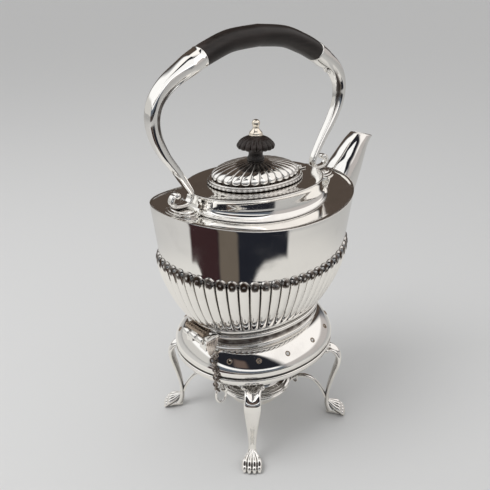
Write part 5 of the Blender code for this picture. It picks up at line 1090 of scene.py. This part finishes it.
def stand_mouldings():
    """The thick rim under the dome, and the neck that the kettle's foot stands on."""
    profile = mm(0, RIM_TOP_Z, (-5, -0.4), (-1.2, -0.1)) + arc(-0.0010, RIM_TOP_Z - 0.0011, 0.0010, 85, 5, 6)
    profile += mm(0, RIM_TOP_Z, (-0.1, -2.2), (-0.4, -3.6), (-0.9, -4.8), (-1.7, -5.9))
    profile += mm(0, RIM_Z, (-2.7, 0.5), (-3.6, 0), (-7.4, 0), (-6, 3))
    make("rim_moulding", oval_moulding(RIM, profile, APRON_COLUMNS), "stand", silver, "apron_rim")
    ring, base, seat = oval_of("socket_ring")
    base -= 0.0003
    profile = mm(0, seat, (-3.4, 0), (0, 0), (0, -0.9), (-0.6, -1.8), (-1, -3.2))
    profile += mm(0, base, (-0.7, 4.2), (0.2, 3)) + arc(0.0010, base + 0.0013, 0.0012, 80, -70, 9)
    profile += mm(0, base, (1.2, 0), (-3.4, 0))
    # The hollow under the kettle's foot is darkened: painted shade, with some tarnish.
    shape = oval_moulding(grown(ring, -0.0022), profile, tarnish_and_shade=(0, 0, 0.3, 0.9, 0.95, 0.95, 0.9))
    make("socket_moulding", shape, "stand", silver, "socket_ring")


# Legs and brackets, drawn once as (distance from the axis, place across, height) and set at four places

LEG_ANGLE = radians(46.2)
LEG_INSET = 0.0043                   # from the apron's outside in to where the leg leaves the rim
RIM_UNDER_Z = RIM_Z - 0.0003
KNEE_REACH = 0.0145
LEG_WIDTH = 0.0144                   # at the knee
TOE_REACH = 0.0222
TOE_R = 0.0023
PAW_HEIGHT = 0.0118
PAW_WIDTH = 0.0158
BALL_R = 0.0021
# Inner point and outer point as shares of the knee's reach and the height, then the width's share
LEG_STATIONS = (
    (-0.30, 0.950, -0.30, 1.0, 1.25),
    (0.03, 0.945, 0.03, 1.0, 1.25),
    (0.32, 0.935, 0.40, 0.995, 1.0),
    (0.52, 0.900, 0.79, 0.950, 0.96),
    (0.68, 0.845, 1.04, 0.862, 1.0),
    (0.67, 0.760, 1.00, 0.750, 0.96),
    (0.54, 0.655, 0.84, 0.640, 0.84),
    (0.39, 0.535, 0.66, 0.520, 0.72),
    (0.25, 0.405, 0.51, 0.398, 0.58),
    (0.18, 0.288, 0.43, 0.288, 0.48583),
    (0.165, 0.200, 0.44, 0.208, 0.45833),
    (0.19, 0.115, 0.56, 0.150, 0.55),
    (0.32, 0.030, 0.86, 0.095, 0.71042),
)
# Reach share, height share and how thick the toe is
TOE_SHARES = ((0.14, 1.20, 0.35), (0.34, 1.00, 0.62), (0.55, 0.76, 0.85), (0.72, 0.60, 1.02),
              (0.84, 0.42, 0.88), (0.93, 0.30, 0.90), (1.0, 0.12, 0.50))
# Reach share, height and width share of the paw's pad
PAD_ROWS = ((0.20, 0.0035, 0.30), (0.30, 0.0062, 0.42), (0.50, 0.0070, 0.60), (0.70, 0.0052, 0.72),
            (0.86, 0.0030, 0.70))
BRACKET_SHARES = ((-0.02, 0.79), (0.15, 0.95), (0.3, 1), (0.48, 0.975), (0.66, 0.86), (0.81, 0.66),
                  (0.93, 0.42), (0.99, 0.24))
BRACKET_BASE_Z, BRACKET_ARCH_Z = 0.0105, 0.0412
(BURNER_R, _), BURNER_RING_Z, BURNER_RING_TOP_Z = oval_of("burner_ring")
CURL_STEPS = 25
LEG_SPREAD = abs(cos(LEG_ANGLE) / APRON[0]) ** OVAL_POWER + abs(sin(LEG_ANGLE) / APRON[1]) ** OVAL_POWER
LEG_ROOT = LEG_SPREAD ** (-1 / OVAL_POWER) - LEG_INSET       # from the axis to where a leg leaves the rim


def at_each_leg(piece, node, shape, material, sharp):
    """Makes a piece at all four legs."""
    points, faces, tarnish_and_shade = shape
    for end_name, x in ENDS:
        for hand, y in (("right", -1), ("left", 1)):
            out = Vector((x * cos(LEG_ANGLE), y * sin(LEG_ANGLE), 0))
            side = Vector((-out.y, out.x, 0))
            placed = [tuple(AXIS + out * reach + side * across + UP * z) for reach, across, z in points]
            make(f"{piece}_{end_name}_{hand}", (placed, faces, tarnish_and_shade), "stand", material,
                 f"{node}_{end_name}_{hand}", sharp=sharp)


def toe(spread):
    """One toe of the paw: a lobe from the instep down to the floor, with a knuckle and a claw."""
    path = smooth_path(TOE_SHARES, 5)
    line = [Vector((spot.x * TOE_REACH, spot.y * PAW_HEIGHT)) for spot in path]
    rings, tarnish_and_shade = [], []
    for spot, way in zip(path, ways(line)):
        reach = LEG_ROOT + TOE_REACH * spot.x * (1 - 0.06 * abs(spread))
        across = spread * PAW_WIDTH * 0.40 * smooth_step(0.05, 0.75, spot.x)
        radius = TOE_R * spot.z
        ring = []
        for a in around(14):
            off = radius * sin(a)
            z = max(0, spot.y * PAW_HEIGHT + way.x * off * 1.25)
            ring.append((reach - way.y * off, across + radius * cos(a), z))
            # Painted shade: each toe's underside and the gaps between the toes are darkened.
            tarnish_and_shade.append(0.95 * smooth_step(0.10, -0.45, sin(a)))
        rings.append(ring)
    return loft(rings, tarnish_and_shade=tarnish_and_shade)


def legs():
    """Cabriole legs: a pad under the rim, the knee, the ankle and a paw with four toes on a flat sole."""
    rings, tarnish_and_shade = [], []
    for ax, ay, bx, by, width in smooth_rows(LEG_STATIONS):
        square = 1.0 - 0.15 * smooth_step(0.30, 0.70, ay)
        ring = []
        for t in around(28):
            across, v = bent(cos(t), square), 0.5 + 0.5 * bent(sin(t), square)
            notch = 0.055 * exp(-(across / 0.5) ** 2) * smooth_step(0.40, 0.9, v)
            notch *= smooth_step(0.95, 0.45, ax) * smooth_step(0.84, 0.93, ay)
            ring.append((LEG_ROOT + KNEE_REACH * (ax + (bx - ax) * v), across * width * LEG_WIDTH / 2,
                         RIM_UNDER_Z * (ay + (by - ay) * v - notch)))
            # Painted shade: the leg's inner side, towards the burner, is darkened.
            tarnish_and_shade.append(0.6 * smooth_step(0.40, 0.08, v))
        rings.append(ring)
    pad = [[(LEG_ROOT + TOE_REACH * reach, PAW_WIDTH * width * 0.5 * cos(a),
             max(0, z / 2 * (1 + 1.3 * sin(a)))) for a in around(20)] for reach, z, width in PAD_ROWS]
    balls = [blob(Vector((LEG_ROOT + 0.0005, hand * 0.0078, RIM_UNDER_Z - 0.0022)), ACROSS * BALL_R,
                  ALONG * BALL_R, UP * BALL_R, 14) for hand in (-1, 1)]
    toes = [toe(spread) for spread in (-1, -0.34, 0.34, 1)]
    at_each_leg("cabriole", "leg", both(loft(rings, tarnish_and_shade=tarnish_and_shade), *toes, loft(pad), *balls), cast_silver, 60)


def brackets():
    """Curved stays from the ankles to the burner ring, each with a small curl under its inner end."""
    start = BURNER_R - 0.0004
    reach = LEG_ROOT + KNEE_REACH * 0.165 + 0.0004 - start
    line = smooth_path([(start + reach * r, 0, BRACKET_BASE_Z + (BRACKET_ARCH_Z - BRACKET_BASE_Z) * z)
                        for r, z in BRACKET_SHARES], 6)
    outline = [(bent(sin(t), 0.85), bent(cos(t), 0.7)) for t in around(20)]
    stay = [section(spot, way, 0.0013, 0.0025, outline) for spot, way in zip(line, ways(line))]
    centre, curl = Vector((start + 0.0052, 0, BRACKET_ARCH_Z - 0.0052)), []
    for i in range(CURL_STEPS + 1):
        a = radians(100 - 330 * i / CURL_STEPS)
        way = Vector((cos(a), 0, sin(a)))
        middle = centre + way * (0.0024 * (1 - 0.5 * i / CURL_STEPS))
        curl.append(hoop(middle, way * 0.0007, ACROSS * 0.0020, 12))
    at_each_leg("stay", "bracket", both(loft(stay), loft(curl)), silver, 50)


# Burner

BURNER_BORE = BURNER_R - 0.0036
RESERVOIR_R = 0.0300
DRUM_R, DRUM_FOOT_R = 0.0270, 0.0312
DRUM_CROWN_RISE = 0.0035
DRUM_HOLE_R = 0.0063                 # for the wick's tube


def burner():
    """Moulded ring on the stays; the bowl hung in it, the drum, the wick's tube and the wick."""
    r, low, high = BURNER_R, BURNER_RING_Z, BURNER_RING_TOP_Z
    profile = [(BURNER_BORE, low), (r - 0.0012, low)] + arc(r - 0.0012, low + 0.0012, 0.0012, -80, 60, 7)
    profile += [(r - 0.0010, low + 0.0025)] + arc(r - 0.0010, high - 0.0008, 0.0008, -40, 90, 6)
    shape = turned(profile + [(BURNER_BORE, high)], 96, closed=True)
    make("ring_moulding", shape, "stand", silver, "burner_ring")

    low, top = (corner.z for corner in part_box("burner_bowl"))
    flange_z = top - 0.0028

    def cup(inset, steps):
        """The reservoir's round wall, from its middle outwards."""
        turns = [pi / 2 * i / steps for i in range(steps)]
        return [((RESERVOIR_R - inset) * sin(a), flange_z - (flange_z - low - inset) * cos(a))
                for a in turns]

    profile = cup(0, 19) + [(RESERVOIR_R, flange_z)]
    profile += mm(r, flange_z, (-0.8, 0), (0, 0.7), (0, 1.2), (-0.7, 1.6), (-1, 1.9), (-0.8, 2.4),
                  (-1.4, 2.8))
    profile += [(RESERVOIR_R - SHEET, top)] + cup(SHEET, 9)[::-1]
    make("reservoir", turned(profile, 96), "burner", silver, "burner_bowl")

    base, crown = (corner.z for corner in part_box("burner_drum"))
    wall_top = crown - DRUM_CROWN_RISE
    profile = mm(DRUM_FOOT_R, base, (-0.3, 0), (0, 0.4), (0, 0.8), (-0.5, 1.2))
    profile += mm(DRUM_R, base, (0.8, 1.4), (0, 2.2))
    profile += [(DRUM_R, wall_top - 0.0012)] + arc(DRUM_R - 0.0002, wall_top - 0.0004, 0.0008, -60, 110, 7)
    for i in range(1, 8):
        share = i / 8
        profile.append((DRUM_R - 0.001 - (DRUM_R - 0.002 - DRUM_HOLE_R) * share,
                        wall_top + DRUM_CROWN_RISE * sin(pi / 2 * share)))
    profile += [(DRUM_HOLE_R, crown), (DRUM_HOLE_R, crown - SHEET), (DRUM_R * 0.7, crown - 0.0023),
                (DRUM_R - SHEET, wall_top - SHEET), (DRUM_R - SHEET, base)]
    make("drum", turned(profile, 96, closed=True), "burner", silver, "burner_drum")

    low, high = (corner.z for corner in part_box("wick_tube"))
    profile = [(0.0060, low)] + mm(0, crown + 0.0003, (6, 0), (7.2, 0), (7.2, 0.8), (6.6, 1.2), (6.1, 1.6))
    profile += mm(0, high, (6, -0.8), (6.3, -0.4), (6, 0), (4.8, 0)) + [(0.0048, low)]
    shape = turned(profile, 48, closed=True)
    make("burner_tube", shape, "burner", aged_silver, "wick_tube", slot="aged_silver")

    low, high = (corner.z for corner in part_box("wick"))
    profile = [(0, low), (0.0045, low)] + mm(0, high, (4.5, -1.4), (4.2, -0.6), (3.3, -0.1), (0, -0.3))
    cotton = cotton_finish("cotton", high - 0.0040, high)
    make("cotton_wick", turned(profile, 36), "burner", cotton, "wick", slot="cotton")


# Chain between the rear pin and the apron

EYELET_R, EYELET_WIRE, EYELET_TURN = 0.0034, 0.0008, -75
EYELET_FROM_END, EYELET_INSET = 0.0115, 0.0045
EYELET_LIFT = 0.00296                # how far above the eyelet's low point the chain's ring hangs
LINK_WIRE, LINK_HALF_LENGTH, LINK_HALF_WIDTH = 0.00074, 0.00215, 0.00178
LINK_OVERLAP = 0.00060
LINK_ROOM = 0.0004
CHAIN_OFF = 0.0022                   # the chain's distance from the apron
SHELL_EYE_SHARE = 0.84
SHELL_LEAN = 0.0016
SHELL_HALF_WIDTH, SHELL_HALF_THICKNESS = 0.00575, 0.0006
SHELL_RIBS = 7
SHELL_OUTLINE = ((0.96, 0), (1.0, 0.10), (1.0, 0.22), (0.93, 0.36), (0.84, 0.5), (0.72, 0.64), (0.60, 0.76),
                 (0.50, 0.87), (0.40, 0.95), (0.20, 1.0))


class HungRing:
    """An upright ring that hangs from a place at one of its angles, which are in degrees."""

    def __init__(self, held, hung_at, turn, half_width, half_height, wire):
        self.across = Vector((cos(radians(turn)), sin(radians(turn)), 0))
        self.half_width, self.half_height, self.wire = half_width, half_height, wire
        self.middle = held - self.spoke(hung_at)

    def spoke(self, at):
        a = radians(at)
        return self.across * (self.half_width * cos(a)) + UP * (self.half_height * sin(a))

    def shape(self, wire, sides=40):
        return ring_of_wire(self.middle, self.across, UP, self.half_width, self.half_height, wire, sides)

    def end_link(self, at, away):
        """Middle, radius and two directions of a round link that holds this ring's wire."""
        away = away.normalized()
        across = away.cross(self.spoke(at + 90)).normalized()
        return self.middle + self.spoke(at) + away * 0.0001, self.wire + LINK_WIRE + LINK_ROOM, across, away


def shell_places():
    """The shell's top middle, its eye and its height."""
    low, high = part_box("pin_shell")
    height = high.z - low.z
    top = Vector((AXIS_X - HINGE_REACH + BAR_SHIFT, (low.y + high.y) / 2, high.z))
    return top, top - Vector((SHELL_LEAN, 0, height)) * SHELL_EYE_SHARE, height


def rear_edge(size, y):
    """How far behind the axis an oval's edge is at a place across."""
    return size[0] * (1 - abs(y / size[1]) ** OVAL_POWER) ** (1 / OVAL_POWER)


def outside_apron(y, share):
    size, z = apron_size(share)
    return Vector((AXIS_X - rear_edge(grown(size, CHAIN_OFF), y), y, z))


def shell():
    """Scallop with ribs that fan out from its eye, hanging from the pin's bar."""
    top, eye, height = shell_places()
    columns = SHELL_RIBS * 8
    rings = []
    for p in smooth_path(SHELL_OUTLINE, 3):
        front, back = [], []
        for j in range(columns + 1):
            u = -1 + 2 * j / columns
            rib = 0.5 + 0.5 * cos(pi * u * SHELL_RIBS)
            bulge = 0.0009 * (1 - u * u) * sin(pi * min(1, p.y + 0.15))
            fan = 0.00042 * rib * smooth_step(1.0, 0.55, p.y)
            scallop = 0.0004 * rib * smooth_step(0.25, 0, p.y) - 0.0004
            spot = top + Vector((SHELL_HALF_WIDTH * p.x * u - SHELL_LEAN * p.y, 0, scallop - height * p.y))
            front.append(spot - ACROSS * (SHELL_HALF_THICKNESS + bulge + fan))
            back.append(spot + ACROSS * SHELL_HALF_THICKNESS)
        rings.append(front + back[::-1])
    boss = ring_of_wire(eye - ACROSS * 0.0008, ALONG, UP, 0.0019, 0.0019, 0.0004, 24, 8)
    cap = rounded_block(top - Vector((BAR_HALF[0], 0.0013, 0.0012)),
                        top + Vector((BAR_HALF[0], 0.0013, 0.0001)), 0.0004)
    make("scallop", both(loft(rings), boss, cap), "rear_pin", aged_silver, "pin_shell", slot="aged_silver")


def chain_parts():
    """Ring in the shell, fine links, the large oval ring and the eyelet under the rim."""
    pin_ring = HungRing(shell_places()[1], 115, -60, 0.0025, 0.0025, 0.0005)
    make("shell_ring", pin_ring.shape(pin_ring.wire), "rear_pin", aged_silver, "pin_ring",
         slot="aged_silver")
    x = EYELET_FROM_END - APRON[0]
    inset = grown(APRON, -EYELET_INSET)
    eyelet_top = Vector((AXIS_X + x, -rear_edge(inset[::-1], x), RIM_UNDER_Z - EYELET_WIRE))
    eyelet = HungRing(eyelet_top, 90, EYELET_TURN, EYELET_R, EYELET_R, EYELET_WIRE)
    oval = HungRing(eyelet.middle - UP * (EYELET_R - EYELET_LIFT), 60, -15, 0.0046, 0.0074, 0.00075)
    make("eyelet", eyelet.shape(EYELET_WIRE * 1.2), "stand", cast_silver, "chain_eyelet", slot="aged_silver")
    make("oval_ring", oval.shape(oval.wire * 1.25, 56), "stand", cast_silver, "chain_ring",
         slot="aged_silver")
    top = pin_ring.end_link(290, Vector((-0.75, -0.35, -0.55)))
    low = oval.end_link(125, Vector((-0.55, 0.1, 0.83)))
    half = LINK_HALF_LENGTH
    start, end = (middle + away * (radius - LINK_OVERLAP + half) for middle, radius, _, away in (top, low))
    hang_y = end.y - 0.0012
    side = outside_apron(hang_y, 1)
    line = smooth_path((start, outside_apron((start.y + hang_y) / 2, 0.88), side,
                        Vector((side.x, hang_y, (RIM_Z + RIM_TOP_Z) / 2)), end), 12)
    run = lengths(line)
    steps = round(run[-1] / (2 * half - LINK_OVERLAP))
    stations = [(*top[:2], top[1], top[2], top[3])]
    across = top[2]
    for k, part in places_on(run, [run[-1] * i / steps for i in range(steps + 1)]):
        along = (line[k + 1] - line[k]).normalized()
        across = along.cross(across).normalized()
        stations.append((line[k].lerp(line[k + 1], part), LINK_HALF_WIDTH, half, across, along))
    stations.append((*low[:2], low[1], low[2], low[3]))
    links = [ring_of_wire(middle, across, along, half_width, half_height, LINK_WIRE, 24, 8)
             for middle, half_width, half_height, across, along in stations]
    points, faces, _ = both(*links)
    # Light tarnish on every link, and painted shade on every other link so that the links alternate dark and
    # bright.
    tarnish_and_shade = [0.40 + 0.50 * (k % 2) for k, link in enumerate(links) for _ in link[0]]
    fine = make("fine_chain", (points, faces, tarnish_and_shade), None, aged_silver, "chain", slot="aged_silver")
    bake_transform(fine)


def carried_over():
    """Nodes of the model that need no new shape."""
    for ob in bpy.data.objects:
        if ob.type == "MESH" and ob.name.split(".")[0] == "lid_nut":
            ob.data.materials.clear()
            ob.data.materials.append(cast_silver)


# 5. Stage

TARGET = Vector((-0.03027, 0.00583, 0.17466))
CAMERA = Vector((-0.3487, -0.3488, 0.3853))
LENS = 44.19
CARD_WIDTH, CARD_HEIGHT = 0.60, 0.45
CARD_AWAY, CARD_FOOT_Z = 0.21, 0.385
TOWARD = Vector((-0.668, -0.744, 0))    # level direction from the kettle to the camera
SIDEWAYS = Vector((0.744, -0.668, 0))   # level direction to the right of the picture
WHITE = (1.0, 1.0, 1.0)


def world_light():
    """Even light; in reflections, two tall soft boxes, a ceiling and a dark room behind the camera."""
    world = bpy.data.worlds.new("studio")
    bpy.context.scene.world = world
    room = Nodes(world, "Background", "Generated")
    turn = room.bearing()
    height = room.add("SeparateXYZ", "Z", {"Vector": room.place})
    tall = room.remap(height, 0.30, 0.40)
    left = room.mix(tall, (0.62, 0.61, 0.59), (1.05, 1.05, 1.05))
    right = room.mix(tall, (0.50, 0.47, 0.46), (1.02, 0.99, 0.97))
    strip = room.times(room.window(turn, -15, 7, 4), room.window(height, 0.44, 0.78, 0.05))
    sill = room.times(room.window(turn, -44, 50, 8), room.window(height, 0.20, 0.35, 0.02))
    above = room.times(room.remap(height, 0.93, 0.965), room.rest_of(room.window(turn, -50, 56, 12)))
    colour = room.mix(room.remap(height, 0.20, 0.40), (0.12, 0.14, 0.17), (0.016, 0.017, 0.022))
    for where, shown in ((strip, (0.13, 0.095, 0.08)), (sill, WHITE),
                         (room.rest_of(room.window(turn, -146, 146, 6)), (0.085, 0.066, 0.054)),
                         (room.window(turn, -140, -56, 6), left), (room.window(turn, 56, 140, 6), right),
                         (above, (1.08, 1.06, 1.03))):
        colour = room.mix(where, colour, shown)
    seen = room.for_rays("Is Glossy Ray", (0.62, 0.62, 0.62), colour)
    room.shade({"Color": room.for_rays("Is Camera Ray", seen, (0.93, 0.93, 0.92))})


def floor():
    """Wide pale floor. In the silver's reflections it is dark further out on the camera's side."""
    half = 30
    mesh = bpy.data.meshes.new("floor")
    corners = [(-half, -half, 0), (half, -half, 0), (half, half, 0), (-half, half, 0)]
    mesh.from_pydata(corners, [], [(0, 1, 2, 3)])
    look = Nodes(bpy.data.materials.new("floor"))
    turn = look.bearing()
    out = look.add("VectorMath", "Value", {0: look.place}, operation="LENGTH")
    peaks = look.plus(look.times(look.window(turn, -78, -40, 12), 0.10),
                      look.times(look.window(turn, 18, 66, 14), 0.048))
    beyond = look.remap(look.math("SUBTRACT", out, look.plus(0.262, peaks)), -0.006, 0.006)
    far = look.times(beyond, look.rest_of(look.window(out, 0.90, 1.6, 0.05)))
    dark = look.times(look.window(turn, -56, 56, 2), far, look.add("LightPath", "Is Glossy Ray", {}))
    shade = look.mix(look.remap(turn, -22, -14), (0.040, 0.018, 0.020), (0.014, 0.016, 0.024))
    shade = look.mix(look.window(turn, -18, 3, 2), shade, (0.15, 0.125, 0.10))
    mirrored = look.mix(look.remap(out, 0.30, 0.44), (0.86, 0.845, 0.815), (0.64, 0.635, 0.625))
    plain = look.for_rays("Is Glossy Ray", (0.60, 0.597, 0.59), mirrored)
    plain = look.for_rays("Is Camera Ray", plain, (0.76, 0.76, 0.757))
    mesh.materials.append(look.shade({"Roughness": 0.9, "Specular IOR Level": 0.1,
                                      "Base Color": look.mix(dark, plain, shade)}))
    add_object("floor", mesh)


def aimed(name, data, place, way, **values):
    """A lamp or the camera at a place, looking along a direction, with its settings."""
    for key, value in values.items():
        setattr(data, key, value)
    thing = add_object(name, data)
    thing.location = place
    thing.rotation_euler = way.to_track_quat("-Z", "Y").to_euler()
    return thing


def lights_and_camera():
    """The camera, a soft box that only shows in reflections, which the dome is spared, and a soft lamp."""
    scene = bpy.context.scene
    scene.camera = aimed("camera", bpy.data.cameras.new("camera"), CAMERA, TARGET - CAMERA, lens=LENS,
                         sensor_width=36, sensor_height=36, sensor_fit="HORIZONTAL", clip_start=0.01,
                         clip_end=100)
    place = AXIS + UP * (CARD_FOOT_Z + CARD_HEIGHT / 2) + TOWARD * CARD_AWAY
    card = aimed("card", bpy.data.lights.new("card", "AREA"), place, -TOWARD, shape="RECTANGLE",
                 size=CARD_WIDTH, size_y=CARD_HEIGHT, energy=pi * CARD_WIDTH * CARD_HEIGHT)
    card.visible_camera = card.visible_diffuse = card.visible_transmission = False
    spared = bpy.data.collections.new("spared_by_card")
    spared.objects.link(bpy.data.objects["dome"])
    spared.collection_objects[0].light_linking.link_state = "EXCLUDE"
    card.light_linking.receiver_collection = spared
    place = TARGET + TOWARD * 0.4 - SIDEWAYS * 0.7 + UP * 1.3
    key = aimed("key", bpy.data.lights.new("key", "AREA"), place, TARGET - place, shape="DISK", size=0.9,
                energy=9)
    key.visible_glossy = False


for build in (kettle_body, shoulder_plate, foot_moulding, neck, spout, handle, plinths, lid_edge, lid_cover,
              lid_knob, lid_finial, lid_hinge, hinges, pins, shell, chain_parts, apron_dome, stand_mouldings,
              legs, brackets, burner, carried_over, world_light, floor, lights_and_camera):
    build()
bpy.context.scene.view_settings.view_transform = "Standard"
